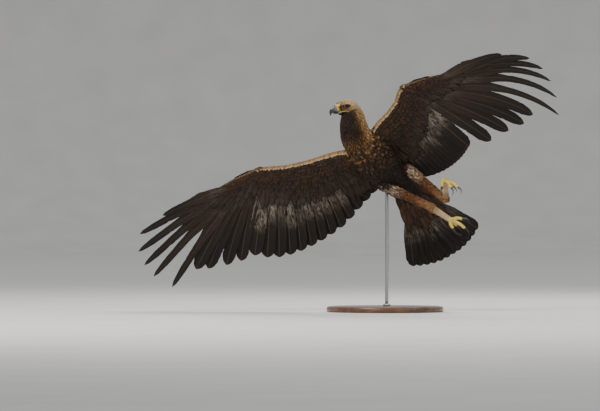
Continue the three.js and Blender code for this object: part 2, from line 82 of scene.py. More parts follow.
# Joints and plane of each wing, turn of its hand, lie of the outer feathers,
# first and last tip of the inner ones, and how far the fingertips bend up
WINGS = {
    "right": {
        "shoulder": (-165, -53, 680),
        "wrist": (-517, -1, 592),
        "normal": (0.02, 0.894, 0.447),
        "hand": 10,
        "angles": [62.8, 57.2, 50.4, 46.4, 42.9, 35.2, 29.6, 23.4, 15.9, 10.4],
        "tips": (141, 374, -444, 215),
        "trailing": [0, 24, 37, 40, 38, 33, 28, 23, 18, 8, -2, -4, 0],
        "rise": 35,
    },
    "left": {
        "shoulder": (-59, -83, 760),
        "wrist": (71, -223, 928),
        "normal": (0.123, 0.807, 0.577),
        "hand": 33,
        "angles": [92, 82, 74, 66.5, 58, 49, 41.8, 36.6, 31.8, 26.6],
        "tips": (-83, 376, -325, 305),
        "trailing": [0, 2, 4, 5, 5, 4, 4, 3, 3, 2, 2, 1, 0],
        "rise": -120,
    },
}

# Joints of each leg, the way of each toe and the way its sole looks
LEGS = {
    "right": {
        "hip": (-8, 18, 545),
        "knee": (20, -24, 520),
        "ankle": (189, -50, 441),
        "foot": (273, -70, 386),
        "toes": [(0.94, -0.3, 0.14), (0.86, -0.2, -0.46), (0.5, 0.75, -0.43), (0.25, -0.3, -0.92)],
        "sole": (0.62, -0.2, -0.76),
    },
    "left": {
        "hip": (80, 20, 600),
        "knee": (114, -30, 584),
        "ankle": (252, -92, 470),
        "foot": (246, -135, 553),
        "toes": [(0.55, -0.6, -0.58), (0.8, -0.45, -0.4), (0.72, 0.5, -0.48), (-0.35, -0.55, -0.76)],
        "sole": (0.2, -0.5, -0.84),
    },
}
TOE_LENGTH = [50, 68, 48, 36]
CLAW_LENGTH = [42, 38, 32, 48]
TOE_NAMES = ["inner", "middle", "outer", "hind"]

# Colours of the plumage
CHOCOLATE = "#1f140d"
UMBER = "#2f1f14"
RUST = "#6a4226"
GOLD = "#a87a42"
PALE_GOLD = "#d2b27c"
THROAT = "#1a110b"
# The cream is a painted highlight for the sunlit front edge of the wings.
SUNLIT_EDGE_CREAM = "#d8c4a0"
GREY_BROWN = "#40352c"


# Vectors and frames

def unit(v):
    v = np.asarray(v, float)
    return v / np.linalg.norm(v, axis=-1, keepdims=True)


def axes(origin, x_axis, z_hint):
    """Origin and three rows, the local x, y and z directions."""
    x = unit(x_axis)
    y = unit(np.cross(z_hint, x))
    return np.asarray(origin, float), np.array([x, y, np.cross(x, y)])


def spin(degrees, x, y):
    """x and y turned in their plane."""
    c, s = math.cos(math.radians(degrees)), math.sin(math.radians(degrees))
    return x * c - y * s, x * s + y * c


def put(place, points):
    return place[0] + np.asarray(points, float) @ place[1]


def curve(points, count):
    """Smooth curve through points."""
    p = np.asarray(points, float)
    p = np.vstack([2 * p[0] - p[1], p, 2 * p[-1] - p[-2]])
    out = []
    for s in np.linspace(0, len(p) - 3, count):
        i = min(int(s), len(p) - 4)
        t = s - i
        a, b, c, d = p[i : i + 4]
        square = (2 * a - 5 * b + 4 * c - d) * t**2
        cube = (3 * b - a - 3 * c + d) * t**3
        out.append(0.5 * (2 * b + (c - a) * t + square + cube))
    return np.array(out)


def keys(values, t):
    return np.interp(t, np.linspace(0, 1, len(values)), values)


def linear(code):
    """sRGB hex to linear colour. A colour that is linear already comes back as it is."""
    if not isinstance(code, str):
        return code
    rgb = np.array([int(code[i : i + 2], 16) / 255 for i in (1, 3, 5)])
    return np.where(rgb <= 0.04045, rgb / 12.92, ((rgb + 0.055) / 1.055) ** 2.4)


def blend(a, b, t):
    """Mix of two colours, t one number or one per feather."""
    t = np.asarray(t, float)[..., None]
    return linear(a) * (1 - t) + linear(b) * t


def limit(value):
    return np.clip(value, 0, 1)


def inside(place, points):
    """World points as local x, y, z in their last axis."""
    return (points - place[0]) @ place[1].T


# Meshes

def new_object(name, verts, faces, smooth=True):
    mesh = bpy.data.meshes.new(name)
    mesh.from_pydata((np.asarray(verts) * MM).tolist(), [], faces)
    mesh.update()
    mesh.polygons.foreach_set("use_smooth", [smooth] * len(mesh.polygons))
    obj = bpy.data.objects.new(name, mesh)
    bpy.context.scene.collection.objects.link(obj)
    return obj


def ring_faces(rows, count, start=0, closed=True):
    faces = []
    for r in range(rows - 1):
        for j in range(count if closed else count - 1):
            k = (j + 1) % count
            a, b = start + r * count + j, start + r * count + k
            faces.append((a, b, b + count, a + count))
    return faces


def loft(rings):
    """Vertices and faces of a skin over rings, closed at both ends, facing out."""
    rings = np.asarray(rings, float)
    rows, count = rings.shape[:2]
    verts = rings.reshape(-1, 3)
    faces = ring_faces(rows, count)
    last = (rows - 1) * count
    ends = np.array([rings[0].mean(0), rings[-1].mean(0)])
    tail = len(verts)
    verts = np.vstack([verts, ends])
    for j in range(count):
        k = (j + 1) % count
        faces.append((tail, k, j))
        faces.append((tail + 1, last + j, last + k))
    a, b, c = verts[[f[0] for f in faces]], verts[[f[1] for f in faces]], verts[[f[2] for f in faces]]
    if np.einsum("ij,ij->i", a, np.cross(b, c)).sum() < 0:
        faces = [f[::-1] for f in faces]
    return verts, faces


def merge(parts):
    """Joins lists of (vertices, faces)."""
    verts, faces, start = [], [], 0
    for v, f in parts:
        verts.append(v)
        faces += [tuple(i + start for i in face) for face in f]
        start += len(v)
    return np.vstack(verts), faces


def oval(place, x, y, z, half_y, half_z, count, power=1.0):
    a = np.linspace(0, 2 * math.pi, count, endpoint=False)
    across, up = (np.sign(v) * np.abs(v) ** power for v in (np.cos(a), np.sin(a)))
    return put(place, np.stack([np.full(count, float(x)), y + half_y * across, z + half_z * up], 1))


def limb_rings(points, radii, count, steps, flatten=1.0, hint=(0.13, -0.96, 0.25)):
    path = curve(points, steps)
    ways = np.gradient(path, axis=0)
    rings = []
    for i, (p, w) in enumerate(zip(path, ways)):
        r = keys(radii, i / (steps - 1))
        rings.append(oval(axes(p, w, hint), 0, 0, 0, r, r * flatten, count))
    return np.array(rings)


def station(rows, x, column):
    """Value of one column at x, between rows that start with their x."""
    xs = [row[0] for row in rows]
    return np.interp(x, xs, [row[column] for row in rows])


def finish_piece(obj, material, slot, *replaced):
    obj.data.materials.append(material)
    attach(obj, "root")
    if replaced:
        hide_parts(*replaced)
    return obj


# Materials

def node(tree, kind, inputs=None, **settings):
    """Adds a node, sets its fields and links or fills its inputs."""
    made = tree.nodes.new(kind)
    for key, content in settings.items():
        setattr(made, key, content)
    for key, content in (inputs or {}).items():
        if hasattr(content, "is_output"):
            tree.links.new(content, made.inputs[key])
        else:
            made.inputs[key].default_value = content
    return made


def start_material(name, **constants):
    material = bpy.data.materials.new(name)
    material.use_nodes = True
    tree = material.node_tree
    shader = tree.nodes["Principled BSDF"]
    for key, content in constants.items():
        shader.inputs[key.replace("_", " ")].default_value = content
    return material, tree, shader


def value(tree, kind, inputs=None, **settings):
    """First output of a new node."""
    return node(tree, kind, inputs, **settings).outputs[0]


def maths(tree, operation, a, b=0.0):
    return value(tree, "ShaderNodeMath", {0: a, 1: b}, operation=operation)


def noise(tree, vector, scale, **more):
    return value(tree, "ShaderNodeTexNoise", {"Vector": vector, "Scale": scale, **more})


def stretched(tree, vector, scale):
    return value(tree, "ShaderNodeMapping", {"Vector": vector, "Scale": scale})


def triple(tree, x, y, z):
    return value(tree, "ShaderNodeCombineXYZ", {0: x, 1: y, 2: z})


def object_place(tree):
    return node(tree, "ShaderNodeTexCoord").outputs["Object"]


def marked(tree, name, output="Fac"):
    """Attribute that each feather carries."""
    return node(tree, "ShaderNodeAttribute", attribute_name=name).outputs[output]


def vane(tree):
    """Shares across and along, from the map that feathers and lofts carry."""
    uv = value(tree, "ShaderNodeUVMap", uv_map="vane")
    split = node(tree, "ShaderNodeSeparateXYZ", {0: uv}).outputs
    return split[0], split[1]


def paint(tree, shader, colour):
    tree.links.new(colour, shader.inputs["Base Color"])


def ramp(tree, factor, stops):
    made = node(tree, "ShaderNodeValToRGB", {"Fac": factor})
    points = made.color_ramp.elements
    while len(points) < len(stops):
        points.new(0.5)
    for point, (at, colour) in zip(points, stops):
        point.position = at
        point.color = (*linear(colour), 1)
    return made.outputs["Color"]


def grey(value):
    return np.array([value, value, value])


def mixed(tree, factor, a, b, mode="MIX"):
    made = node(tree, "ShaderNodeMix", {0: factor, 6: a, 7: b}, data_type="RGBA", blend_type=mode)
    return made.outputs[2]


def bump(tree, shader, height, distance, strength=1.0):
    made = node(tree, "ShaderNodeBump", {"Height": height, "Distance": distance, "Strength": strength})
    tree.links.new(made.outputs["Normal"], shader.inputs["Normal"])


# Feather vane: keratin barbs along a shaft, dull with a slight silky sheen.
# Each feather's own tint is an attribute; barbs and shaft come from its UV map.
def feather_material(name, barbs, gloss, marbled=False):
    looks = {"Specular_IOR_Level": gloss, "Sheen_Weight": 0.03, "Sheen_Roughness": 0.4}
    material, tree, shader = start_material(name, Roughness=0.6, IOR=1.5, **looks)
    round_share, share = vane(tree)
    across = maths(tree, "ABSOLUTE", maths(tree, "SUBTRACT", round_share, 0.5))
    slanted = maths(tree, "SUBTRACT", share, maths(tree, "MULTIPLY", across, 0.32))
    line = maths(tree, "SINE", maths(tree, "MULTIPLY", slanted, barbs))
    patch = noise(tree, object_place(tree), 60.0, Detail=3.0)
    seed = marked(tree, "seed")
    strand = noise(tree, triple(tree, maths(tree, "MULTIPLY", across, 3.0), slanted, seed), 45.0, Detail=2.0)
    shade = maths(tree, "ADD", maths(tree, "MULTIPLY", patch, 0.5), maths(tree, "MULTIPLY", strand, 0.7))
    factor = ramp(tree, shade, [(0.3, grey(0.62)), (0.85, grey(1.35))])
    colour = mixed(tree, 1.0, marked(tree, "tint", "Color"), factor, "MULTIPLY")
    if marbled:
        wave = triple(tree, maths(tree, "MULTIPLY", round_share, 0.8), slanted, seed)
        marble = noise(tree, wave, 13.0, Detail=5.0, Distortion=0.9)
        streaks = ramp(tree, marble, [(0.42, grey(0)), (0.62, grey(1))])
        mask = maths(tree, "MULTIPLY", streaks, marked(tree, "pale"))
        colour = mixed(tree, mask, colour, (*linear("#a39a8c"), 1))
    shaft = maths(tree, "LESS_THAN", across, 0.022)
    colour = mixed(tree, maths(tree, "MULTIPLY", shaft, 0.55), colour, (*linear("#5a4838"), 1))
    paint(tree, shader, colour)
    bump(tree, shader, line, 0.00035, 0.5)
    return material


# Bare hide under the feathers: dull brown down that only shows between them.
def down_material():
    material, tree, shader = start_material("down", Roughness=0.9)
    fluff = noise(tree, object_place(tree), 420.0, Detail=4.0)
    factor = ramp(tree, fluff, [(0.3, grey(0.5)), (0.75, grey(1.0))])
    paint(tree, shader, mixed(tree, 1.0, marked(tree, "tint", "Color"), factor, "MULTIPLY"))
    bump(tree, shader, fluff, 0.001, 0.6)
    return material


# Bill: dense horn, blue-grey at the base and black at the hook, satin with a fine grain.
def bill_material():
    varnish = {"Coat_Weight": 0.15, "Coat_Roughness": 0.25}
    material, tree, shader = start_material("bill", Roughness=0.32, IOR=1.54, **varnish)
    grain = noise(tree, object_place(tree), 260.0, Detail=3.0)
    wander = maths(tree, "MULTIPLY", maths(tree, "SUBTRACT", grain, 0.5), 0.3)
    at = maths(tree, "ADD", vane(tree)[1], wander)
    stops = [(0.0, "#6f7780"), (0.3, "#4d545c"), (0.62, "#1d1f22"), (1.0, "#0d0d0e")]
    paint(tree, shader, ramp(tree, at, stops))
    bump(tree, shader, grain, 0.0003, 0.35)
    return material


# Bare skin: waxy yellow on cere, gape and toes and dull brown on the lids,
# with scales from one to a few millimetres wide and darker creases between them.
def skin_material(name, base, dark, scale, height):
    looks = {"Subsurface_Weight": 0.12, "Subsurface_Scale": 0.002}
    material, tree, shader = start_material(name, Roughness=0.45, IOR=1.45, **looks)
    place = object_place(tree)
    inputs = {"Vector": place, "Scale": scale}
    cells = value(tree, "ShaderNodeTexVoronoi", inputs, feature="DISTANCE_TO_EDGE")
    patch = noise(tree, place, 90.0, Detail=3.0)
    crease = ramp(tree, cells, [(0.0, dark), (0.16, base)])
    factor = ramp(tree, patch, [(0.3, grey(0.8)), (0.7, grey(1.08))])
    paint(tree, shader, mixed(tree, 1.0, crease, factor, "MULTIPLY"))
    bump(tree, shader, ramp(tree, cells, [(0.0, grey(0)), (0.2, grey(1))]), height, 0.7)
    return material


# Claw: black keratin, smooth and slightly worn to grey along its length.
def claw_material():
    material, tree, shader = start_material("claw", Roughness=0.28, IOR=1.54)
    wear = noise(tree, object_place(tree), 150.0, Detail=4.0)
    paint(tree, shader, ramp(tree, wear, [(0.35, "#0c0b0b"), (0.8, "#2f2c2a")]))
    bump(tree, shader, wear, 0.0002, 0.3)
    return material


# Bristle: stiff black shaft of a face feather, without barbs, smooth and slightly glossy.
def bristle_material():
    material, tree, shader = start_material("bristle", Roughness=0.4, IOR=1.54)
    tone = noise(tree, object_place(tree), 300.0)
    paint(tree, shader, ramp(tree, tone, [(0.3, "#120d0a"), (0.7, "#3a2a1c")]))
    return material


# Eye: dark hazel iris with fine radial fibres round a black pupil, under a wet cornea.
def eye_material():
    material, tree, shader = start_material("eye", Roughness=0.05, IOR=1.376)
    round_share, share = vane(tree)
    fibre = triple(tree, maths(tree, "MULTIPLY", round_share, 60.0), share, 0.0)
    spread = maths(tree, "SUBTRACT", noise(tree, fibre, 1.0, Detail=2.0), 0.5)
    at = maths(tree, "ADD", share, maths(tree, "MULTIPLY", spread, 0.03))
    stops = [(0.0, grey(0.002)), (0.112, grey(0.002)), (0.125, "#54310f")]
    stops += [(0.18, "#7d531f"), (0.225, "#462b11"), (0.25, "#0f0a07")]
    paint(tree, shader, ramp(tree, at, stops))
    return material


# Stand base: varnished walnut, warm brown, with growth rings and fine pores.
def wood_material():
    varnish = {"Coat_Weight": 0.3, "Coat_Roughness": 0.2}
    material, tree, shader = start_material("walnut", Roughness=0.38, IOR=1.5, **varnish)
    place = object_place(tree)
    rings = noise(tree, stretched(tree, place, (1.0, 9.0, 9.0)), 5.0, Detail=6.0, Distortion=0.6)
    pores = noise(tree, stretched(tree, place, (12.0, 260.0, 260.0)), 1.0, Detail=3.0)
    tone = ramp(tree, rings, [(0.3, "#3a2215"), (0.5, "#5f3b23"), (0.7, "#7d5433")])
    factor = ramp(tree, pores, [(0.35, grey(0.7)), (0.6, grey(1.0))])
    paint(tree, shader, mixed(tree, 1.0, tone, factor, "MULTIPLY"))
    bump(tree, shader, pores, 0.0002, 0.3)
    return material


# Rod and collar: brushed steel, mid grey, with a soft shine in fine streaks.
def steel_material():
    material, tree, shader = start_material("steel", Metallic=1.0, Roughness=0.32)
    lines = noise(tree, stretched(tree, object_place(tree), (900.0, 900.0, 12.0)), 1.0, Detail=2.0)
    paint(tree, shader, ramp(tree, lines, [(0.3, "#8d9093"), (0.7, "#b4b6b8")]))
    bump(tree, shader, lines, 0.0001, 0.3)
    return material


# Floor: matt pale studio floor with faint clouds of tone.
def floor_material():
    material, tree, shader = start_material("floor", Roughness=0.8)
    cloud = noise(tree, object_place(tree), 3.0, Detail=3.0)
    paint(tree, shader, ramp(tree, cloud, [(0.3, "#cfcdc8"), (0.7, "#d6d4cf")]))
    return material


FEATHER = feather_material("contour_feather", 190.0, 0.2)
FLIGHT = feather_material("flight_feather", 900.0, 0.22, marbled=True)
DOWN = down_material()
BILL = bill_material()
CERE = skin_material("cere_skin", "#d3b23a", "#c49c2b", 1100.0, 0.00006)
TOE_SKIN = skin_material("toe_skin", "#dcc463", "#a08442", 380.0, 0.0005)
CLAW = claw_material()
EYE_GLOSS = eye_material()
WOOD = wood_material()
STEEL = steel_material()
LID = skin_material("lid_skin", "#5b4a30", "#2c2218", 900.0, 0.0002)
BRISTLE = bristle_material()
FLOOR = floor_material()


# Frames of the bird

DORSAL = np.cross(unit(FORWARD), unit(LEFTWARD))
TRUNK = axes(TRUNK_CENTRE, FORWARD, DORSAL)
HEAD = axes(HEAD_CENTRE, HEAD_FORWARD, HEAD_UP)
TAIL_ROOT = put(TRUNK, [-188, 0, 0])
TAIL_TOP = DORSAL - unit(TAIL_WAY) * (DORSAL @ unit(TAIL_WAY))
TAIL = axes(TAIL_ROOT, TAIL_WAY, TAIL_TOP)


def arm_length(wing):
    return np.linalg.norm(np.subtract(wing["wrist"], wing["shoulder"]))


def wing_frame(wing):
    """Rows run out along the arm, back to the trailing edge and to the upper side."""
    shoulder, wrist = np.array(wing["shoulder"], float), np.array(wing["wrist"], float)
    normal = unit(wing["normal"])
    out = unit(wrist - shoulder)
    back = unit(np.cross(normal, out))
    if back[2] > 0:
        back = -back
    return wrist, np.array([out, back, normal])


def wing_world(wing):
    """Maps the wing's plane to the world, with the fingertips bent off it as on an arc."""
    origin, rows = wing_frame(wing)
    turn = math.radians(wing["hand"] + 10)
    c, s = math.cos(turn), math.sin(turn)
    steep = wing["rise"] / BEND_REACH**2

    def world(x, y, z):
        far = np.maximum(0, x * c + y * s - BEND_START)
        inward = 2 / 3 * steep**2 * far**3
        local = np.broadcast_arrays(x - c * inward, y - s * inward, z + steep * far**2)
        return origin + np.stack(local, -1) @ rows

    return world


def primaries(wing):
    """Outer flight feathers, fanned from the hand: x, y, angle, length, lift."""
    h = math.radians(wing["hand"])
    rows = []
    for i, (angle, length) in enumerate(zip(wing["angles"], PRIMARY_LENGTH)):
        at = 12 + 146 * i / 9
        lift = 4.5 - i - (1.3 if i > 3 else 0)
        rows.append((at * math.cos(h), 6 + at * math.sin(h), angle, length, lift))
    return rows


def secondaries(wing):
    """Inner flight feathers, set along the arm: x, y, angle, length, lift."""
    arm = arm_length(wing)
    x0, y0, x1, y1 = wing["tips"]
    rows = []
    for i in range(SECONDARY_COUNT):
        t = i / (SECONDARY_COUNT - 1)
        s = min(1, t * 1.6)
        x, y = -8 + t * (42 - arm), 18 + 80 * s * s * (3 - 2 * s)
        tx, ty = x0 + t * (x1 - x0), y0 + t**3 * (y1 - y0) + wing["trailing"][i]
        rows.append((x, y, math.degrees(math.atan2(ty - y, tx - x)), math.hypot(tx - x, ty - y), 0))
    return rows


def tail_world(x, y, z):
    return TAIL[0] + np.stack(np.broadcast_arrays(x, y, z), -1) @ TAIL[1]


# Flight feathers: closed blades with a shaft, cambered, split here and there

FINGER = ([0, 0.06, 0.14, 0.42, 0.56, 0.85, 0.96, 1], [7, 20, 34, 50, 33, 27, 17, 3])
BROAD = ([0, 0.08, 0.2, 0.6, 0.9, 0.97, 1], [7, 26, 44, 62, 56, 38, 6])
ARM = ([0, 0.08, 0.2, 0.6, 0.9, 0.97, 1], [7, 28, 46, 70, 66, 44, 8])
RECTRIX = ([0, 0.25, 0.55, 0.9, 0.97, 1], [6, 24, 54, 56, 40, 8])


def blade(to_world, x, y, angle, length, lift, tilt, profile, bow=0.0):
    """One flight feather as (vertices, faces, vane coordinates), front and back joined at the edge."""
    rows, cols = 46, 13
    t = np.linspace(0, 1, rows) ** 0.92
    s = np.linspace(-1, 1, cols)
    width = np.interp(t, *profile) / 2
    fray = 1 + 0.018 * rng.standard_normal((rows, 1)) * (t[:, None] > 0.3)
    off = width[:, None] * s[None, :] * fray
    for cut in rng.uniform(0.35, 0.95, 3):
        side = rng.choice([-1, 1])
        near = np.exp(-(((t - cut) / 0.006) ** 2))[:, None] * limit(side * s[None, :]) ** 2
        off = off * (1 - 0.16 * near)
    side_bow = bow * np.sin(math.pi * t)
    c, n = math.cos(math.radians(angle)), math.sin(math.radians(angle))
    across = off + side_bow[:, None]
    px = x + c * t[:, None] * length - n * across
    py = y + n * t[:, None] * length + c * across
    camber = 0.05 * width[:, None] * (1 - s[None, :] ** 2)
    thick = (0.45 * (1 - 0.7 * t))[:, None] * (1 - 0.75 * np.abs(s[None, :]))
    shaft = (1.5 * (1 - t) ** 0.8)[:, None] * np.exp(-((s[None, :] / 0.06) ** 2))
    mid = lift - off * tilt + camber
    top = to_world(px, py, mid + thick / 2 + 0.35 * shaft)
    low = to_world(px, py, mid - thick / 2 - shaft)
    verts = np.vstack([top.reshape(-1, 3), low.reshape(-1, 3)])
    half = rows * cols
    faces = []
    for r in range(rows - 1):
        for j in range(cols - 1):
            a = r * cols + j
            faces.append((a, a + 1, a + 1 + cols, a + cols))
            faces.append((half + a, half + a + cols, half + a + cols + 1, half + a + 1))
        a, b = r * cols, r * cols + cols - 1
        faces.append((a, a + cols, half + a + cols, half + a))
        faces.append((b, half + b, half + b + cols, b + cols))
    for j in range(cols - 1):
        e = half - cols + j
        faces.append((j, half + j, half + j + 1, j + 1))
        faces.append((e, e + 1, half + e + 1, half + e))
    uv = np.stack(np.broadcast_arrays((s[None, :] + 1) / 2, t[:, None]), -1).reshape(-1, 2)
    return verts, faces, np.vstack([uv, uv])


def set_uv(mesh, name, per_vertex):
    loops = np.empty(len(mesh.loops), np.int32)
    mesh.loops.foreach_get("vertex_index", loops)
    layer = mesh.uv_layers.new(name=name)
    layer.data.foreach_set("uv", np.asarray(per_vertex, np.float32)[loops].ravel())


def set_tint(mesh, colours):
    rgba = np.ones((len(mesh.vertices), 4), np.float32)
    rgba[:, :3] = limit(colours)
    layer = mesh.color_attributes.new("tint", "FLOAT_COLOR", "POINT")
    layer.data.foreach_set("color", rgba.ravel())


def set_number(mesh, name, values):
    layer = mesh.attributes.new(name, "FLOAT", "POINT")
    layer.data.foreach_set("value", np.asarray(values, np.float32))


def volume(verts, faces):
    """Six times the volume of a closed body of four-sided faces, below zero where they face in."""
    a, b, c, d = (verts[faces[:, k]] for k in range(4))
    return np.einsum("ij,ij->i", a, np.cross(b, c)).sum() + np.einsum("ij,ij->i", a, np.cross(c, d)).sum()


def orient(verts, faces):
    f = np.array(faces)
    return f[:, ::-1] if volume(verts, f) < 0 else f


def flight_piece(name, to_world, rows, profiles, tilts, bows, pale_from, pale_to, replaced=(), fades=True):
    """All flight feathers of one wing part as one mesh."""
    verts, faces, uvs, tints, pales, seeds, bake = [], [], [], [], [], [], []
    start = 0
    count = len(rows)
    for i, (x, y, angle, length, lift) in enumerate(rows):
        v, f, uv = blade(to_world, x, y, angle, length, lift, tilts[i], profiles[i], bows[i])
        f = orient(v, f)
        t, s = uv[:, 1], np.abs(uv[:, 0] - 0.5) * 2
        base = blend("#2c2119", "#15100d", limit((t - 0.35) * 2.2))
        tip = blend(base, RUST, 0.25 * limit((t - 0.975) * 40))
        tints.append(tip * rng.uniform(0.82, 1.18))
        strength = rng.uniform(0.35, 1.0) * (1 - 0.7 * i / count if fades else 0.6)
        reach = limit((rng.uniform(pale_from, pale_to) - t) * 5)
        pales.append(strength * limit((t - 0.02) * 8) * reach * (1 - 0.4 * s))
        bake.append(np.stack([(i + 0.1 + 0.8 * uv[:, 0]) / count, 0.03 + 0.94 * t], 1))
        verts.append(v)
        faces.append(f + start)
        uvs.append(uv)
        seeds.append(np.full(len(v), rng.uniform(0, 40)))
        start += len(v)
    obj = new_object(name, np.vstack(verts), np.vstack(faces).tolist())
    set_uv(obj.data, "vane", np.vstack(uvs))
    set_uv(obj.data, "OFBake", np.vstack(bake))
    set_tint(obj.data, np.vstack(tints))
    set_number(obj.data, "pale", np.concatenate(pales))
    set_number(obj.data, "seed", np.concatenate(seeds))
    return finish_piece(obj, FLIGHT, "plumage_dark", *replaced)


ALULA = ([0, 0.1, 0.3, 0.8, 1], [9, 20, 32, 28, 6])


def alula(wing):
    """Three stiff feathers of the thumb, over the front of the hand."""
    rows = []
    for back, length in ((-6, 118), (-1, 146), (5, 160)):
        rows.append((*spin(wing["hand"], 22, back), wing["hand"] + 1.5, length, 11 - back * 0.35))
    return rows


def build_flight():
    for name, wing in WINGS.items():
        to_world = wing_world(wing)
        rows, hand = primaries(wing), (f"wing_{name}_hand",)
        profiles = [FINGER if i >= 4 else BROAD for i in range(len(rows))]
        bows = [-0.02 * row[3] for row in rows]
        tilts = [TILT] * len(rows)
        flight_piece(f"primaries_{name}", to_world, rows, profiles, tilts, bows, 0.22, 0.42, hand)
        thumb = alula(wing)
        flight_piece(f"alula_{name}", to_world, thumb, [ALULA] * 3, [0.02] * 3, [0] * 3, 0, 0.01)
        rows, arm = secondaries(wing), (f"wing_{name}_arm",)
        shapes, tilts, bows = ([item] * SECONDARY_COUNT for item in (ARM, TILT, 0))
        flight_piece(f"secondaries_{name}", to_world, rows, shapes, tilts, bows, 0.6, 0.76, arm)
    rows, tilts = [], []
    middle = (TAIL_COUNT - 1) / 2
    for i in range(TAIL_COUNT):
        t = i / middle - 1
        central = abs(i - middle) < 1
        lift = 6.2 + 2.4 * (middle - i) if central else 0
        rows.append((20, 26 * t, TAIL_FAN / 2 * t, TAIL_LENGTH - 12 * t * t, lift))
        tilts.append(0 if central else TILT * np.sign(middle - i))
    shapes, bows = [RECTRIX] * TAIL_COUNT, [0] * TAIL_COUNT
    flight_piece("tail_feathers", tail_world, rows, shapes, tilts, bows, 0.66, 0.74, ("tail",), fades=False)


# Skin: one remeshed hide over trunk, neck, head, legs and the fleshed wing

FOIL_STOPS = np.array([0.05, 0.2, 0.45, 0.75, 1])
FOIL_THICK = np.array([0.5, 0.85, 1, 0.72, 0.34])


def foil(place, rows, inset=0.0):
    """Fleshed part of a wing from its rows, drawn in by the inset."""
    rings = []
    for x, lead, rear, thick in rows:
        y = lead + inset + (rear - lead - inset) * FOIL_STOPS
        h = np.maximum(thick * FOIL_THICK / 2 - inset, 0.8)
        top = np.stack([np.full(5, float(x)), y, h], 1)
        low = np.stack([np.full(5, float(x)), y, -h], 1)[::-1]
        rings.append(put(place, np.vstack([[x, lead + inset, 0], top, low])))
    return loft(rings)


def arm_rows(wing):
    """Fleshed arm: x, front edge, rear edge, thickness."""
    arm = arm_length(wing)
    return [
        (-arm - 25, 0, 110, 60),
        (-arm * 0.82, -4, 150, 52),
        (-arm * 0.55, 4, 180, 42),
        (-arm * 0.28, 2, 160, 34),
        (-20, -14, 110, 28),
        (14, -15, 90, 24),
    ]


# Fleshed hand: x, front edge, rear edge, thickness
HAND_ROWS = [
    (-32, -5, 72, 22),
    (0, -22, 76, 25),
    (60, -19, 66, 20),
    (120, -14, 60, 17),
    (165, -9, 46, 13),
    (190, -3, 26, 8),
]


def turned(place, degrees):
    x, y, z = place[1]
    return place[0], np.array([*spin(-degrees, x, y), z])


def remesh(name, parts, voxel, smooth):
    obj = new_object(name, *merge(parts))
    cut = obj.modifiers.new("remesh", "REMESH")
    cut.mode = "VOXEL"
    cut.voxel_size = voxel * MM
    even = obj.modifiers.new("smooth", "SMOOTH")
    even.iterations = smooth
    graph = bpy.context.evaluated_depsgraph_get()
    mesh = bpy.data.meshes.new_from_object(obj.evaluated_get(graph))
    obj.modifiers.clear()
    old = obj.data
    obj.data = mesh
    bpy.data.meshes.remove(old)
    mesh.polygons.foreach_set("use_smooth", [True] * len(mesh.polygons))
    return obj


def mesh_arrays(obj):
    mesh = obj.data
    points = np.empty(len(mesh.vertices) * 3)
    mesh.vertices.foreach_get("co", points)
    return points.reshape(-1, 3) / MM, [tuple(p.vertices) for p in mesh.polygons]


def torso_rings(inset, steps=40, count=64):
    # x, shares of the greatest half width and half depth, rise
    rows = [
        (-228, 0.26, 0.2, 0),
        (-205, 0.46, 0.36, 0),
        (-160, 0.7, 0.62, 0),
        (-100, 0.87, 0.82, -0.04),
        (-20, 1, 0.98, -0.08),
        (60, 1, 1, -0.1),
        (115, 0.92, 0.93, -0.06),
        (155, 0.76, 0.8, 0),
        (184, 0.54, 0.58, 0.02),
        (202, 0.3, 0.34, 0.04),
    ]
    rings = []
    for x in np.linspace(-228 + inset, 202 - inset, steps):
        w = max(TRUNK_WIDE * station(rows, x, 1) - inset, 4)
        h = max(TRUNK_DEEP * station(rows, x, 2) - inset, 4)
        rings.append(oval(TRUNK, x, 0, TRUNK_DEEP * station(rows, x, 3), w, h, count, 0.92))
    return np.array(rings)


NECK_ROOT = [put(TRUNK, [105, 0, -4]), put(TRUNK, [158, 0, -2])]
NECK_PATH = NECK_ROOT + [(-133, -97, 778), (-140, -118, 822), put(HEAD, [-20, 0, -6])]
NECK_RADII = np.array([76, 71, 67, 63, 58, 52, 45, 38])

# The coat thins from the breast up to the back of the head
NECK_DEPTH = np.array([1, 1, 1, 1, 0.9, 0.75, 0.6, 0.5])


def neck_rings(inset, steps=36, count=64):
    return limb_rings(NECK_PATH, NECK_RADII - inset * NECK_DEPTH, count, steps, 0.94)


def skull_rings(inset, steps=34, count=64):
    # x, half width, half depth, rise
    rows = [
        (-55, 17, 17, -7),
        (-48, 26, 25, -5),
        (-34, 32, 30, -2),
        (-16, 34.5, 31, 0),
        (0, 33, 30, 0.5),
        (9, 28, 27, 0),
        (17, 19, 21, -1),
        (21.5, 13.2, 16.5, 1.5),
    ]
    rings = []
    for x in np.linspace(-55 + inset, 21.5, steps):
        w, h = station(rows, x, 1) - inset, station(rows, x, 2) - inset
        rings.append(oval(HEAD, x, 0, station(rows, x, 3), w, h, count, 0.95))
    return np.array(rings)


def brow_rings(side, inset=0.6):
    points = [(-14, 25.5, 15), (-5, 28, 16.5), (4, 29.6, 17.2), (12, 28.2, 15.8), (19, 20, 11.8), (22, 14, 9)]
    path = put(HEAD, [(x, y * side, z) for x, y, z in points])
    return limb_rings(path, np.array([2, 3.4, 4.4, 4.6, 3.6, 2]) - inset, 20, 28)


def orbit_rings(side):
    """Soft rim of the face that holds the eyeball."""
    rings = []
    for a in np.linspace(0.05, math.pi - 0.05, 20):
        x = EYE[0] + 14 * math.cos(a)
        r = math.sin(a)
        rings.append(oval(HEAD, x, 15.3 * side, EYE[2] - 1.5, 12.6 * r, 12.5 * r, 28))
    return np.array(rings)


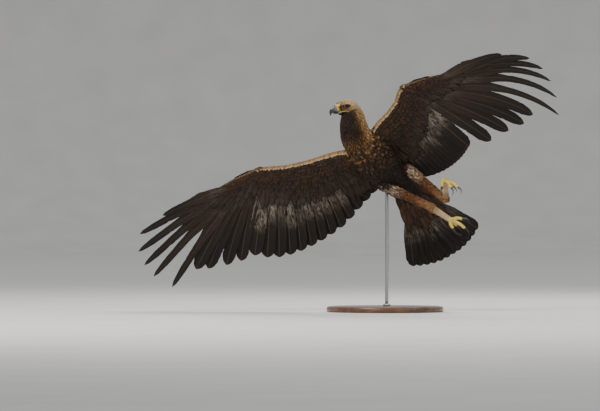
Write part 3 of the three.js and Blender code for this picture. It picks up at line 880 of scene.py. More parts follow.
def jaw_rings():
    """Feathered chin under the lower half of the bill."""
    path = put(HEAD, [(-12, 0, -17), (4, 0, -18.5), (16, 0, -19), (25, 0, -18.5)])
    return limb_rings(path, np.array([17, 14.5, 11.5, 7.5]), 32, 20, 0.7)


def thigh_rings(leg, inset, steps=30, count=40):
    radii = np.array([34, 35, 29, 23, 18, 15]) - inset * np.array([1, 1, 0.9, 0.75, 0.6, 0.4])
    return limb_rings([leg["hip"], leg["knee"], leg["ankle"]], radii, count, steps)


def shank_rings(leg, inset, steps=24, count=32):
    ankle, foot = np.array(leg["ankle"], float), np.array(leg["foot"], float)
    start, end = ankle + (ankle - foot) * 0.04, foot + (ankle - foot) * 0.04
    return limb_rings([start, (start + end) / 2, end], np.array([16, 15, 13, 12]) - inset, count, steps)


def tail_base(inset):
    rows = [(-25, 44, 26), (40, 50, 20), (90, 58, 10), (112, 54, 5)]
    return loft(np.array([oval(TAIL, x, 0, 0, w - inset, max(h - inset, 1.5), 32) for x, w, h in rows]))


# How far the skin lies under the outline of the feathered bird
DEPTH = {"torso": 9, "neck": 7, "head": 2.2, "thigh": 8, "shank": 2.5, "wing": 4, "tail": 5}


def body_skin():
    parts = [loft(torso_rings(DEPTH["torso"])), loft(neck_rings(DEPTH["neck"])), tail_base(DEPTH["tail"])]
    for leg in LEGS.values():
        parts += [loft(thigh_rings(leg, DEPTH["thigh"])), loft(shank_rings(leg, DEPTH["shank"]))]
    for wing in WINGS.values():
        place = wing_frame(wing)
        parts.append(foil(place, arm_rows(wing), DEPTH["wing"]))
        parts.append(foil(turned(place, wing["hand"]), HAND_ROWS, 2.5))
    return remesh("skin_body", parts, 3.0, 4)


def head_skin():
    inset = DEPTH["head"]
    parts = [loft(skull_rings(inset)), loft(neck_rings(DEPTH["neck"])[24:])]
    parts += [loft(brow_rings(side)) for side in (1, -1)]
    parts += [loft(orbit_rings(side)) for side in (1, -1)] + [loft(jaw_rings())]
    return remesh("skin_head", parts, 1.1, 3)


# Coat: contour feathers laid over the skin in staggered rows

TUFT_PATCH = 0.003
COATS = []
ROUND = [0.4, 0.78, 0.96, 1.0, 0.9, 0.66, 0.2]
POINTED = [0.42, 0.82, 1.0, 0.9, 0.68, 0.4, 0.1]


def template(rows, cols):
    """Faces of a closed vane: a front grid and a back grid that share their border."""
    back = np.arange(rows * cols).reshape(rows, cols).copy()
    back[1:-1, 1:-1] = rows * cols + np.arange((rows - 2) * (cols - 2)).reshape(rows - 2, cols - 2)
    front = np.arange(rows * cols).reshape(rows, cols)
    quads = []
    for r in range(rows - 1):
        for c in range(cols - 1):
            quads.append([front[r, c], front[r, c + 1], front[r + 1, c + 1], front[r + 1, c]])
            quads.append([back[r, c], back[r + 1, c], back[r + 1, c + 1], back[r, c + 1]])
    return np.array(quads)


def both_sides(grid):
    """Values of a front grid, then of the back grid without the border that they share."""
    return np.concatenate([grid.reshape(-1, 2), grid[1:-1, 1:-1].reshape(-1, 2)])


class Coat:
    """Feathers gathered for one mesh."""

    def __init__(self, rows, cols):
        self.rows, self.cols = rows, cols
        self.points, self.ups, self.tints, self.bakes = [], [], [], []
        self.roots, self.skins = [], []

    def shares(self):
        """Places across, from -1 to 1, and along, from 0 to 1, of one vane's grid."""
        return np.meshgrid(np.linspace(-1, 1, self.cols), np.linspace(0, 1, self.rows))

    def add(self, points, ups, base, tip, bake, thick=0.7):
        """Adds feathers by mid-surface grids, up directions, base and tip colours and bake places."""
        n = len(points)
        front = points + ups * thick / 2
        rear = points - ups * thick / 2
        front[:, [0, -1]] = points[:, [0, -1]]
        front[:, :, [0, -1]] = points[:, :, [0, -1]]
        inner = rear[:, 1:-1, 1:-1].reshape(n, -1, 3)
        self.points.append(np.concatenate([front.reshape(n, -1, 3), inner], 1))
        s, t = self.shares()
        edge = limit((t - 0.52) * 2.4) + 0.35 * np.abs(s) ** 2 * limit(t * 2 - 0.6)
        edge = limit(edge)
        edge = np.concatenate([edge.ravel(), edge[1:-1, 1:-1].ravel()])
        self.tints.append(base[:, None] * (1 - edge[None, :, None]) + tip[:, None] * edge[None, :, None])
        uv = both_sides(np.stack([s * 0.5, t], -1) * TUFT_PATCH)
        self.bakes.append(bake[:, None] + uv[None])
        self.roots.append(points[:, self.rows // 2, self.cols // 2])
        self.skins.append(base * 0.55 + tip * 0.45)

    def build(self, name, slot):
        points = np.concatenate(self.points)
        n, each = points.shape[:2]
        quads = template(self.rows, self.cols)
        faces = (quads[None] + (np.arange(n) * each)[:, None, None]).reshape(-1, 4)
        verts = points.reshape(-1, 3)
        if volume(verts, faces[: len(quads)]) < 0:
            faces = faces[:, ::-1]
        obj = new_object(name, verts, faces.tolist())
        s, t = self.shares()
        set_uv(obj.data, "vane", np.tile(both_sides(np.stack([(s + 1) / 2, t], -1)), (n, 1)))
        set_uv(obj.data, "OFBake", np.concatenate(self.bakes).reshape(-1, 2))
        set_tint(obj.data, np.concatenate(self.tints).reshape(-1, 3))
        set_number(obj.data, "seed", np.repeat(rng.uniform(0, 40, n), each))
        COATS.append(self)
        finish_piece(obj, FEATHER, slot)


def skin_tree(objects):
    verts, faces = merge([mesh_arrays(obj) for obj in objects])
    return BVHTree.FromPolygons(verts.tolist(), faces)


def lay(tree, roots, ways, length, width, low, high, profile, rows, cols):
    """Mid-surface grids and up directions of feathers that follow the skin from their roots."""
    n = len(roots)
    points, ups = np.zeros((n, rows, cols, 3)), np.zeros((n, rows, cols, 3))
    across = np.linspace(-1, 1, cols)
    shape = keys(profile, np.linspace(0, 1, rows))
    find = tree.find_nearest
    for i in range(n):
        p, d = Vector(roots[i]), Vector(ways[i])
        step = length[i] / (rows - 1)
        for r in range(rows):
            t = r / (rows - 1)
            spot, normal = find(p)[:2]
            d = (d - normal * d.dot(normal)).normalized()
            side = normal.cross(d)
            height = low[i] + (high[i] - low[i]) * t
            for c in range(cols):
                q = spot + side * (across[c] * shape[r] * width[i] / 2)
                at, up = find(q)[:2]
                points[i, r, c] = at + up * height * (1 - 0.22 * across[c] ** 2)
                ups[i, r, c] = up
            p = spot + d * step
    return points, ups


def ring_seeds(rings, pitch, across, jitter=0.28):
    """Staggered roots over a tube: points, ways along it, and (round, along) shares."""
    closed = np.concatenate([rings, rings[:, :1]], 1)
    centres = rings.mean(1)
    steps = np.linalg.norm(np.diff(centres, axis=0), axis=1)
    travel = np.concatenate([[0], np.cumsum(steps)])
    at, row, seeds = travel[0], 0, []
    while at < travel[-1]:
        share = at / travel[-1]
        ring_at = np.interp(at, travel, np.arange(len(travel)))
        i = min(int(ring_at), len(rings) - 2)
        ring = closed[i] * (1 - ring_at + i) + closed[i + 1] * (ring_at - i)
        girth = np.linalg.norm(np.diff(ring, axis=0), axis=1).sum()
        count = max(5, int(girth / across(share)))
        for k in range(count):
            u = (k + 0.5 * (row % 2) + rng.uniform(-jitter, jitter)) / count % 1
            seeds.append((u, limit(share + rng.uniform(-jitter, jitter) * pitch(share) / travel[-1])))
        at += pitch(share)
        row += 1
    seeds = np.array(seeds)
    u = seeds[:, 0] * rings.shape[1]
    v = np.interp(seeds[:, 1] * travel[-1], travel, np.arange(len(travel)))
    v = np.minimum(v, len(rings) - 1.001)
    i, j = v.astype(int), np.minimum(u.astype(int), rings.shape[1] - 1)
    fu, fv = (u - j)[:, None], (v - i)[:, None]
    low = closed[i, j] * (1 - fu) + closed[i, j + 1] * fu
    high = closed[i + 1, j] * (1 - fu) + closed[i + 1, j + 1] * fu
    return low * (1 - fv) + high * fv, unit(high - low), seeds


def on_skin(tree, points, reach):
    """Which points lie on the outer skin, and where."""
    found = [tree.find_nearest(Vector(p)) for p in points]
    return np.array([hit[3] < reach for hit in found]), np.array([hit[0] for hit in found])


def vary(count, spread):
    return 1 + spread * rng.standard_normal(count).clip(-2, 2)


def cover(coat, tree, rings, pitches, looks, way=1, reach=4.0, profile=POINTED, skip=None):
    """Covers a tube with feathers: looks holds functions for their sizes, colours and lifts."""
    pitch, across = pitches
    sizes, colours, heights = looks
    points, ways, seeds = ring_seeds(rings, pitch, across)
    keep, spots = on_skin(tree, points, reach)
    if skip is not None:
        keep &= ~skip(points)
    spots, ways, seeds = spots[keep], ways[keep] * way, seeds[keep]
    n = len(spots)
    ways = unit(ways + 0.10 * rng.standard_normal((n, 3)))
    length, width = sizes(seeds, spots)
    low, high = heights(seeds, spots)
    length, width, high = length * vary(n, 0.1), width * vary(n, 0.08), high * vary(n, 0.12)
    grids, ups = lay(tree, spots, ways, length, width, low, high, profile, coat.rows, coat.cols)
    base, tip = colours(seeds, spots)
    shade = vary(n, 0.13)[:, None]
    coat.add(grids, ups, base * shade, tip * shade, seeds * 0.98 + 0.008)


def falling(start, fall):
    """A number that falls evenly along a tube."""
    return lambda share: start - fall * share


def same(a, b):
    """The same pair of numbers for every feather."""
    return lambda seeds, spots: (np.full(len(seeds), float(a)), np.full(len(seeds), float(b)))


def torso_colours(seeds, spots):
    # Toward the breast the feathers turn lighter with rusty gold tips: partly their own colour, partly
    # painted sunlight on the breast.
    front = limit((inside(TRUNK, spots)[:, 0] - 10) / 150)
    chance = rng.uniform(0, 1, len(seeds))
    base = blend("#120c08", "#22160c", 0.5 * front + 0.3 * chance)
    tip = blend("#1a110b", "#54331d", limit(0.8 * front * chance + 0.15 * chance**2))
    tip = blend(tip, "#9a6c3e", limit(1.3 * front * chance**2 - 0.15))
    return base, tip


def neck_colours(seeds, spots):
    share = seeds[:, 1]
    path = curve(NECK_PATH, 60)
    nearest = path[np.argmin(np.linalg.norm(spots[:, None] - path[None], axis=2), axis=1)]
    out = unit(spots - nearest)
    behind = np.clip(out @ unit((0.75, 0.15, 0.65)), -1, 1)
    nape = limit((behind - 0.05) * 1.9) * limit((share - 0.15) * 2.5)
    front = limit((0.25 - behind) * 2) * limit((share - 0.32) * 3.5)
    chance = rng.uniform(0, 1, len(seeds))
    base = blend("#1a110a", "#6b4824", nape)
    tip = blend("#4c2f1b", GOLD, limit(0.75 * chance**1.5 + nape))
    tip = blend(tip, PALE_GOLD, limit(nape * (0.3 + chance) - 0.2))
    return blend(base, THROAT, front), blend(tip, "#2b1c12", front)


def head_colours(seeds, spots):
    x, y, z = inside(HEAD, spots).T
    # The crown and back of the head are golden; their pale cream tips are partly a painted highlight of light
    # on the crown.
    gold = limit(0.3 + 0.6 * limit(z / 18) + 0.55 * limit(-(x + 2) / 30))
    chance = rng.uniform(0, 1, len(seeds))
    base = blend("#4a311a", "#96713f", gold)
    tip = blend("#7a5832", "#f0dcb4", limit(gold * (0.6 + 0.5 * chance)))
    throat = limit((-9 - z) / 6)
    # Round the eye the feathers turn near black: partly their own dark colour, partly painted shade under the
    # brow ridge.
    across = np.hypot((x - EYE[0] + 1) / 16, (z - EYE[2]) / 8)
    mask = limit((1.4 - across) / 0.4) * (np.abs(y) > 10)
    dark = limit(throat + 0.95 * mask)
    return blend(base, THROAT, dark), blend(tip, "#22160e", dark)


def thigh_colours(seeds, spots):
    share = seeds[:, 1]
    chance = rng.uniform(0, 1, len(seeds))
    # Near the knee the tips turn whitish, a painted highlight where sunlight falls on the thigh feathers.
    pale = limit(1 - np.abs(share - 0.2) * 5) * chance
    low = limit((share - 0.6) * 2.6)
    base = blend("#21150c", "#4f301a", limit(share * 1.5))
    tip = blend("#3a2416", "#7c4b2a", limit(share * 0.9 + 0.4 * chance))
    tip = blend(tip, "#b48c62", low * (0.35 + 0.6 * chance))
    return blend(base, "#7d5c38", 0.7 * low), blend(tip, "#d0bba0", limit(0.95 * pale))


def shank_colours(seeds, spots):
    chance = rng.uniform(0, 1, len(seeds))
    low = limit(seeds[:, 1] * 1.8)
    base = blend("#64462a", "#a88a5c", limit(low * 0.85 + 0.15 * chance))
    return base, blend("#8a6240", "#dcc8a4", limit(low * 0.8 + 0.35 * chance))


# Coverts lie on the wing's and the tail's own surface, which thins from the fleshed edge

COVERT_GRID = (8, 5)


def plane_grids(world, height, x, y, angle, length, width, side, low, high):
    """Mid-surface grids and up directions of coverts, laid in the plane of a wing or the tail."""
    rows, cols = COVERT_GRID
    t = np.linspace(0, 1, rows)[None, :, None]
    s = np.linspace(-1, 1, cols)[None, None, :]
    shape = keys(ROUND, np.linspace(0, 1, rows))[None, :, None]
    a = np.radians(angle)[:, None, None]
    along = t * length[:, None, None]
    off = s * shape * width[:, None, None] / 2
    px = x[:, None, None] + np.cos(a) * along - np.sin(a) * off
    py = y[:, None, None] + np.sin(a) * along + np.cos(a) * off
    rise = low[:, None, None] + (high - low)[:, None, None] * t
    z = side * (height(px, py) + rise * (1 - 0.3 * s**2))
    points = world(px, py, z)
    up = unit(world(px, py, z + side) - points)
    return points, up


def foil_height(rows, x, y):
    """Half thickness of the fleshed wing over x and y, nothing beyond it."""
    lead, rear, thick = (station(rows, x, k) for k in (1, 2, 3))
    t = (y - lead) / (rear - lead)
    share = np.interp(t, [0, 0.05, 0.2, 0.45, 0.75, 1, 1.25], [0.05, 0.5, 0.85, 1, 0.72, 0.34, 0])
    over = (x > rows[0][0] - 5) & (x < rows[-1][0] + 5)
    return np.where(over, thick * share / 2, 0)


def wing_height(wing):
    arm = arm_rows(wing)

    def height(x, y):
        hx, hy = spin(-wing["hand"], x, y)
        thick = np.maximum(foil_height(arm, x, y), foil_height(HAND_ROWS, hx, hy))
        behind = np.where(x < 14, y - station(arm, x, 1), -99)
        behind = np.maximum(behind, np.where(hx > -32, hy - station(HAND_ROWS, hx, 1), -99))
        return np.maximum(thick - 2.0, 3.4 * np.clip(behind / 14, 0.05, 1))

    return height


# Rows of coverts: share of the chord, length, width, pitch
COVERT_ROWS = [
    (0.0, 13, 8.5, 4.4),
    (0.04, 18, 12, 6),
    (0.11, 22, 13, 6.5),
    (0.18, 25, 14, 7),
    (0.26, 29, 16, 8),
    (0.35, 34, 18, 9),
    (0.45, 40, 20, 10),
    (0.56, 50, 24, 12),
    (0.68, 62, 28, 14),
]


def covert_colours(n, share, side, on_arm):
    """Colours of wing coverts by their share of the chord, side 1 above and -1 below, with a painted
    highlight along the front edge.
    """
    chance = rng.uniform(0, 1, n)
    # The front row of coverts is painted buff and cream, a painted highlight where the sun grazes the wing's
    # front edge, stronger on the arm than on the hand.
    edge = max(0, 1 - share / 0.04) * (0.25 + 0.75 * on_arm) * (1 - 0.55 * rng.uniform(0, 1, n) ** 2)
    if side > 0:
        base = blend(CHOCOLATE, UMBER, chance)
        tip = blend(UMBER, GOLD, limit(0.1 + 0.45 * chance + 0.3 * share))
    else:
        base = blend("#140e09", "#241810", 0.7 * chance)
        tip = blend("#1e140d", "#573620", limit(chance * (0.95 - share)))
    return blend(base, "#8b693f", edge), blend(tip, SUNLIT_EDGE_CREAM, edge * (0.6 + 0.4 * chance))


def lie_of(wing):
    """Places along the wing and the angles of its flight feathers there, in order."""
    flight = secondaries(wing)[::-1] + primaries(wing)
    places, angles = (np.array([row[k] for row in flight]) for k in (0, 2))
    order = np.argsort(places)
    return places[order], angles[order]


def chord(rows, x, share):
    """Place between the front and the rear edge at x."""
    lead, rear = station(rows, x, 1), station(rows, x, 2)
    return lead + share * (rear - lead)


def covert_roots(wing, share, pitch):
    """Roots along arm and hand at a share of the chord, and their size against the arm's."""
    x = np.arange(-arm_length(wing) - 20, 18, pitch)
    hx = np.arange(-8, 186, pitch * 0.9)
    on_hand = spin(wing["hand"], hx, chord(HAND_ROWS, hx, share))
    sizes = np.concatenate([np.ones(len(x)), np.full(len(hx), 0.78)])
    y = chord(arm_rows(wing), x, share)
    return np.concatenate([x, on_hand[0]]), np.concatenate([y, on_hand[1]]), sizes


def wing_bake(x, y, arm):
    return np.stack([(x + arm + 60) / (arm + 320), (y + 60) / 330], 1).clip(0.01, 0.98)


def wing_coat(name, wing):
    world, height, lie = wing_world(wing), wing_height(wing), lie_of(wing)
    arm = arm_length(wing)
    for side, label in ((1, "upper"), (-1, "lower")):
        coat = Coat(*COVERT_GRID)
        for share, length, width, pitch in COVERT_ROWS:
            x, y, small = covert_roots(wing, share, pitch)
            n = len(x)
            x = x + rng.uniform(-0.3, 0.3, n) * pitch
            y = y + rng.uniform(-0.25, 0.25, n) * pitch
            angle = np.interp(x, *lie) * (0.72 + 0.28 * share) + rng.normal(0, 5, n)
            lengths, widths = length * small * vary(n, 0.08), width * small * vary(n, 0.08)
            low, high = np.full(n, -0.2 - 0.8 * share), (2.2 + 2.4 * share) * vary(n, 0.12)
            grids, ups = plane_grids(world, height, x, y, angle, lengths, widths, side, low, high)
            base, tip = covert_colours(n, share, side, (small > 0.9) * 1.0)
            shade = vary(n, 0.12)[:, None]
            coat.add(grids, ups, base * shade, tip * shade, wing_bake(x, y, arm))
        great_coverts(coat, wing, world, height, side)
        pit_feathers(coat, world, height, side, arm)
        coat.build(f"coverts_{label}_{name}", "plumage_dark")


def pit_feathers(coat, world, height, side, arm):
    """Long soft feathers that close the gap between the wing and the trunk."""
    n = 16
    share = np.linspace(0, 1, n)
    x = -arm + 46 - 76 * share
    y = 78 + 30 * share + rng.uniform(-6, 6, n)
    angle = 96 + 16 * share + rng.normal(0, 3, n)
    length, high = (150 - 60 * share) * vary(n, 0.06), 4.2 * vary(n, 0.2)
    grids, ups = plane_grids(world, height, x, y, angle, length, np.full(n, 42.0), side, np.zeros(n), high)
    chance = rng.uniform(0, 1, n)
    base, tip = blend("#140e09", CHOCOLATE, chance), blend(CHOCOLATE, UMBER, chance)
    coat.add(grids, ups, base, tip, np.stack([0.02 + 0.1 * share, 0.8 + 0 * share], 1))


def great_coverts(coat, wing, world, height, side):
    """Greater coverts, one and a half to each flight feather."""
    back = 14
    for rows, share, width in ((secondaries(wing), 0.43, 40), (primaries(wing), 0.3, 30)):
        at = np.linspace(0, len(rows) - 1, int(len(rows) * 1.6))
        steps = np.arange(len(rows))
        x, y, angle, length = (np.interp(at, steps, [row[k] for row in rows]) for k in range(4))
        n = len(x)
        reach = np.maximum(length * share, 85) * vary(n, 0.04)
        x0, y0 = x - back * np.cos(np.radians(angle)), y - back * np.sin(np.radians(angle))
        angle = angle + rng.normal(0, 1.5, n)
        widths, high = width * vary(n, 0.05), 3.6 * vary(n, 0.15)
        grids, ups = plane_grids(world, height, x0, y0, angle, reach, widths, side, np.full(n, -0.5), high)
        base = blend("#17110d", "#332b25", rng.uniform(0.1, 0.8, n))
        tip = blend("#17110d", "#403429", rng.uniform(0, 0.8, n))
        coat.add(grids, ups, base, tip, wing_bake(x, y, arm_length(wing)))


# Coverts round the root of the tail: x, count, length, width, spread
TAIL_COVERTS = [(-30, 9, 95, 30, 30), (-8, 10, 110, 32, 36), (18, 11, 120, 34, 40), (42, 12, 128, 36, 42)]


def tail_coat():
    def height(x, y):
        width = np.interp(x, [-25, 40, 90, 112], [44, 50, 58, 54])
        thick = np.interp(x, [-25, 40, 90, 125], [22, 17, 8, 2])
        return np.maximum(thick * np.sqrt(limit(1 - (y / width) ** 2)), 4.5)

    coat = Coat(*COVERT_GRID)
    for side in (1, -1):
        for x0, count, length, width, spread in TAIL_COVERTS:
            share = np.linspace(-1, 1, count)
            y = share * spread
            x = x0 - 6 * share**2 + rng.uniform(-4, 4, count)
            angle = share * 24 + rng.normal(0, 2.5, count)
            lengths, high = length * vary(count, 0.07), 4.5 * vary(count, 0.15)
            widths, low = np.full(count, float(width)), np.full(count, -0.5)
            grids, ups = plane_grids(tail_world, height, x, y, angle, lengths, widths, side, low, high)
            chance = rng.uniform(0, 1, count)
            base, tip = blend(CHOCOLATE, GREY_BROWN, chance), blend("#21160e", "#4a2f1c", chance)
            bake = np.stack([0.5 + y / 200, (x + 60) / 300 + (0.45 if side > 0 else 0)], 1)
            coat.add(grids, ups, base, tip, bake)
    coat.build("tail_coverts", "plumage_dark")


def shrinking(length, less, width, narrower):
    """Sizes that shrink evenly along a tube."""
    return lambda seeds, spots: (length - less * seeds[:, 1], width - narrower * seeds[:, 1])


def neck_sizes(seeds, spots):
    return 34 - 15 * seeds[:, 1] ** 2, 12.5 - 6.5 * seeds[:, 1]


def neck_lifts(seeds, spots):
    return np.full(len(seeds), -1.0), 6 - 3.6 * seeds[:, 1] ** 3


def body_coats(tree):
    rings = torso_rings(DEPTH["torso"])
    coat, looks = Coat(7, 5), (shrinking(40, 8, 25, 4), torso_colours, same(-1, 8))
    cover(coat, tree, rings, (falling(13, 3), falling(12, 2)), looks, -1, profile=ROUND)
    coat.build("coat_torso", "plumage_dark")
    rings = neck_rings(DEPTH["neck"])
    coat, looks = Coat(7, 5), (neck_sizes, neck_colours, neck_lifts)
    cover(coat, tree, rings, (falling(8.5, 4.2), falling(7.6, 3.6)), looks, -1)
    coat.build("coat_neck", "plumage_gold")
    thighs, shanks = Coat(7, 5), Coat(6, 5)
    for leg in LEGS.values():
        looks = (shrinking(46, 24, 15, 8.5), thigh_colours, same(-1, 6))
        cover(thighs, tree, thigh_rings(leg, DEPTH["thigh"]), (falling(8, 4), falling(7, 3.5)), looks)
        looks = (same(15, 4.2), shank_colours, same(-0.5, 2.2))
        cover(shanks, tree, shank_rings(leg, DEPTH["shank"]), (falling(3.4, 0), falling(3.2, 0)), looks)
    thighs.build("coat_thighs", "thigh_feather")
    shanks.build("coat_shanks", "shank_feather")


def bare_face(points):
    """The eye, the line of the mouth and the root of the bill carry no feathers."""
    x, y, z = inside(HEAD, points).T
    eye = (np.hypot(x - EYE[0] - 1, z - EYE[2]) < 8.2) & (np.abs(y) > 12)
    gape = (x > -9) & (np.abs(z - mouth_line(x)) < 2.3)
    return eye | gape | (np.hypot(y, z - 3.3) < 13.4) & (x > FACE_X)


def head_sizes(seeds, spots):
    """Tiny near the eye and the bill, long at the back of the head."""
    x, y, z = inside(HEAD, spots).T
    rear = limit((10 - x) / 52)
    near = limit(1.6 - np.hypot(x - EYE[0], z - EYE[2]) / 11) * (np.abs(y) > 12)
    loose = 1 + 0.3 * rear * rng.uniform(-1, 1, len(seeds))
    return (4.6 + 25 * rear**1.4) * (1 - 0.4 * near) * loose, (1.9 + 3.4 * rear) * (1 - 0.35 * near)


def head_lifts(seeds, spots):
    rear = limit((-10 - inside(HEAD, spots)[:, 0]) / 35)
    return np.full(len(seeds), -0.4), 1.7 + 3.2 * rear


def head_coat(tree):
    coat, looks = Coat(5, 4), (head_sizes, head_colours, head_lifts)
    rings = skull_rings(DEPTH["head"])
    cover(coat, tree, rings, (falling(3.2, 1.4), falling(2.7, 1.2)), looks, -1, 2.5, skip=bare_face)
    short = (head_sizes, head_colours, same(-0.3, 1.1))
    patches = [(brow_rings(side), 2.0) for side in (1, -1)] + [(jaw_rings(), 2.4)]
    patches += [(orbit_rings(side), 1.8) for side in (1, -1)]
    for rings, pitch in patches:
        pitches = (falling(pitch, 0), falling(pitch * 0.9, 0))
        cover(coat, tree, rings, pitches, short, -1, 1.2, skip=bare_face)
    coat.build("coat_head", "plumage_gold")


def mouth_line(x):
    """Height of the mouth, which droops toward its corner."""
    return MOUTH_Z - 0.3 - 0.0042 * np.clip(16 - x, 0, 40) ** 2


def mark_skin(obj):
    """The skin takes the colour of the feathers that grow nearest."""
    roots = np.concatenate([r.reshape(-1, 3) for coat in COATS for r in coat.roots])
    tints = np.concatenate([t.reshape(-1, 3) for coat in COATS for t in coat.skins])
    tree = KDTree(len(roots))
    for i, p in enumerate(roots):
        tree.insert(p, i)
    tree.balance()
    verts = mesh_arrays(obj)[0]
    set_tint(obj.data, np.array([tints[tree.find(p)[1]] for p in verts]))


# Face: bill, cere, mouth, lids and eyes

# Share along the bill, x, z, half width, half depth, pitch down
BILL_ROWS = [
    (0, 17.3, 3.5, 13, 15.5, 0),
    (0.25, 29, 3.2, 11.5, 15, 4),
    (0.5, 42, 1.2, 9, 13, 16),
    (0.7, 53, -3, 6.5, 9.5, 38),
    (0.86, 60, -10.5, 4, 6.5, 64),
    (1, 60.8, -23.5, 0.5, 1.0, 92),
]
CERE_END = 0.27

# Lower half of the bill: x, z, half width, half depth
LOWER_BILL = [
    (12, -17.6, 11.5, 5.5),
    (17.3, -17.6, 11, 5.2),
    (32, -16.9, 8.6, 5),
    (44, -15.4, 5.6, 3.9),
    (50, -14.2, 2.6, 2.2),
]


def bill_rings(start, end, steps, count, grow=0.0):
    rings = []
    for t in np.linspace(start, end, steps):
        x, z, w, h, pitch = (station(BILL_ROWS, t, k) for k in range(1, 6))
        a = math.radians(pitch)
        b = np.linspace(0, 2 * math.pi, count, endpoint=False)
        ridge = 1 - 0.22 * limit(np.sin(b)) ** 2
        y = (w + grow) * np.cos(b) * ridge
        v = (h + grow) * np.sign(np.sin(b)) * np.abs(np.sin(b)) ** 0.9
        local = np.stack([x + v * math.sin(a), y, z + v * math.cos(a)], 1)
        rings.append(put(HEAD, local))
    return np.array(rings)


def smooth_rows(rings, times):
    for _ in range(times):
        rings[1:-1] = (rings[:-2] + 2 * rings[1:-1] + rings[2:]) / 4
    return rings


def ring_uv(obj, rows, count):
    """Vane map of a loft: round and along."""
    t = np.repeat(np.linspace(0, 1, rows), count)
    s = np.tile(np.linspace(0, 1, count), rows)
    set_uv(obj.data, "vane", np.vstack([np.stack([s, t], 1), [[0.5, 0], [0.5, 1]]]))


def loft_piece(name, rings, material, slot, *replaced):
    obj = new_object(name, *loft(rings))
    ring_uv(obj, *rings.shape[:2])
    return finish_piece(obj, material, slot, *replaced)


def gape_rings(side, tree):
    """Flat yellow lip along the line of the mouth, laid on the face."""
    path = []
    for x in np.linspace(-9, 27, 18):
        y = np.interp(x, [-9, 6, 17, 27], [36, 33, 20, 11.8])
        spot = Vector(put(HEAD, [x, y * side, mouth_line(x)]))
        path.append(np.array(tree.find_nearest(spot)[0]) if x < 19 else np.array(spot))
    return limb_rings(smooth_rows(np.array(path), 5), [0.5, 1.2, 1.6, 1.8, 1.7, 1.4], 20, 60, 0.8)


def with_nostrils(local):
    """Rings of the cere with a slanted slot pressed into each side."""
    for side in (1, -1):
        x, y, z = (local[..., k] for k in range(3))
        slot = np.hypot((x - 25 - (z - 5) * 0.25) / 1.6, (z - 5) / 3.0)
        near = (np.sign(y) == side) & (slot < 1.25)
        local[..., 1] -= side * np.where(near, 4.0 * np.clip(1.25 - slot, 0, 0.5) * 2, 0)
    return local


def face(tree):
    rings = smooth_rows(bill_rings(CERE_END - 0.03, 1, 60, 48), 3)
    loft_piece("bill_top", rings, BILL, "bill_horn", "bill_upper")
    local = with_nostrils(inside(HEAD, bill_rings(0.0, CERE_END + 0.02, 40, 72, 0.5)))
    loft_piece("cere_skin", put(HEAD, local), CERE, "yellow_skin", "cere")
    rings = []
    for x in np.linspace(12, 50, 40):
        z, w, h = (station(LOWER_BILL, x, k) for k in (1, 2, 3))
        rings.append(oval(HEAD, x, 0, z, w, h, 40, 0.9))
    loft_piece("bill_under", smooth_rows(np.array(rings), 3), BILL, "bill_horn", "bill_lower")
    for side, label in ((1, "left"), (-1, "right")):
        loft_piece(f"gape_{label}", gape_rings(side, tree), CERE, "yellow_skin")
        eye_and_lids(side, label)


def eye_and_lids(side, label):
    look = unit((0.3, 0.95 * side, -0.02))
    place = (put(HEAD, [EYE[0], EYE[1] * side, EYE[2]]), axes((0, 0, 0), look @ HEAD[1], HEAD[1][2])[1])
    count = 48
    rings = []
    for angle in np.linspace(0.02, math.pi - 0.02, count):
        r = EYE_RADIUS + 0.5 * math.exp(-((angle / 0.55) ** 2))
        rings.append(oval(place, r * math.cos(angle), 0, 0, r * math.sin(angle), r * math.sin(angle), count))
    loft_piece(f"eyeball_{label}", np.array(rings), EYE_GLOSS, "eye", f"eye_{label}")
    parts = [lid_ring(place, 7.1, 0.75, 6.9), lid_ring(place, 8.5, 1.1, 5.6)]
    finish_piece(new_object(f"lids_{label}", *merge(parts)), LID, "yellow_skin")


def lid_ring(place, radius, thick, out):
    """One fold round the eye, flatter along its top."""
    n, m = 72, 12
    b = np.linspace(0, 2 * math.pi, n, endpoint=False)[:, None]
    c = np.linspace(0, 2 * math.pi, m, endpoint=False)[None, :]
    top = np.where(np.sin(b) > 0, 0.84, 1.0)
    crease = 1 + 0.06 * np.sin(b * 23) * (np.cos(c) > 0)
    y = (radius + thick * crease * np.cos(c)) * np.cos(b)
    z = (radius + thick * crease * np.cos(c)) * np.sin(b) * top
    x = out + thick * np.sin(c) + 0 * b
    verts = put(place, np.stack([x, y, z], -1).reshape(-1, 3))
    faces = []
    for i in range(n):
        for j in range(m):
            a, b, k = i * m, (i + 1) % n * m, (j + 1) % m
            faces.append((a + j, b + j, b + k, a + k))
    return verts, orient(verts, faces).tolist()


# Feet: scaled toes with pads and black claws

def toe_path(leg, i):
    foot, way = np.array(leg["foot"], float), unit(leg["toes"][i])
    sole = unit(np.array(leg["sole"]) - way * (np.array(leg["sole"]) @ way))
    stops = [(-0.12, 0), (0.25, -3), (0.5, -4), (0.78, -2), (1.03, 2)]
    return [foot + way * t * TOE_LENGTH[i] + sole * drop for t, drop in stops], way, sole


def toe_radius(t):
    return np.interp(t, [0, 0.3, 0.6, 0.85, 1], [7.4, 6.4, 6.6, 5.8, 5.2])


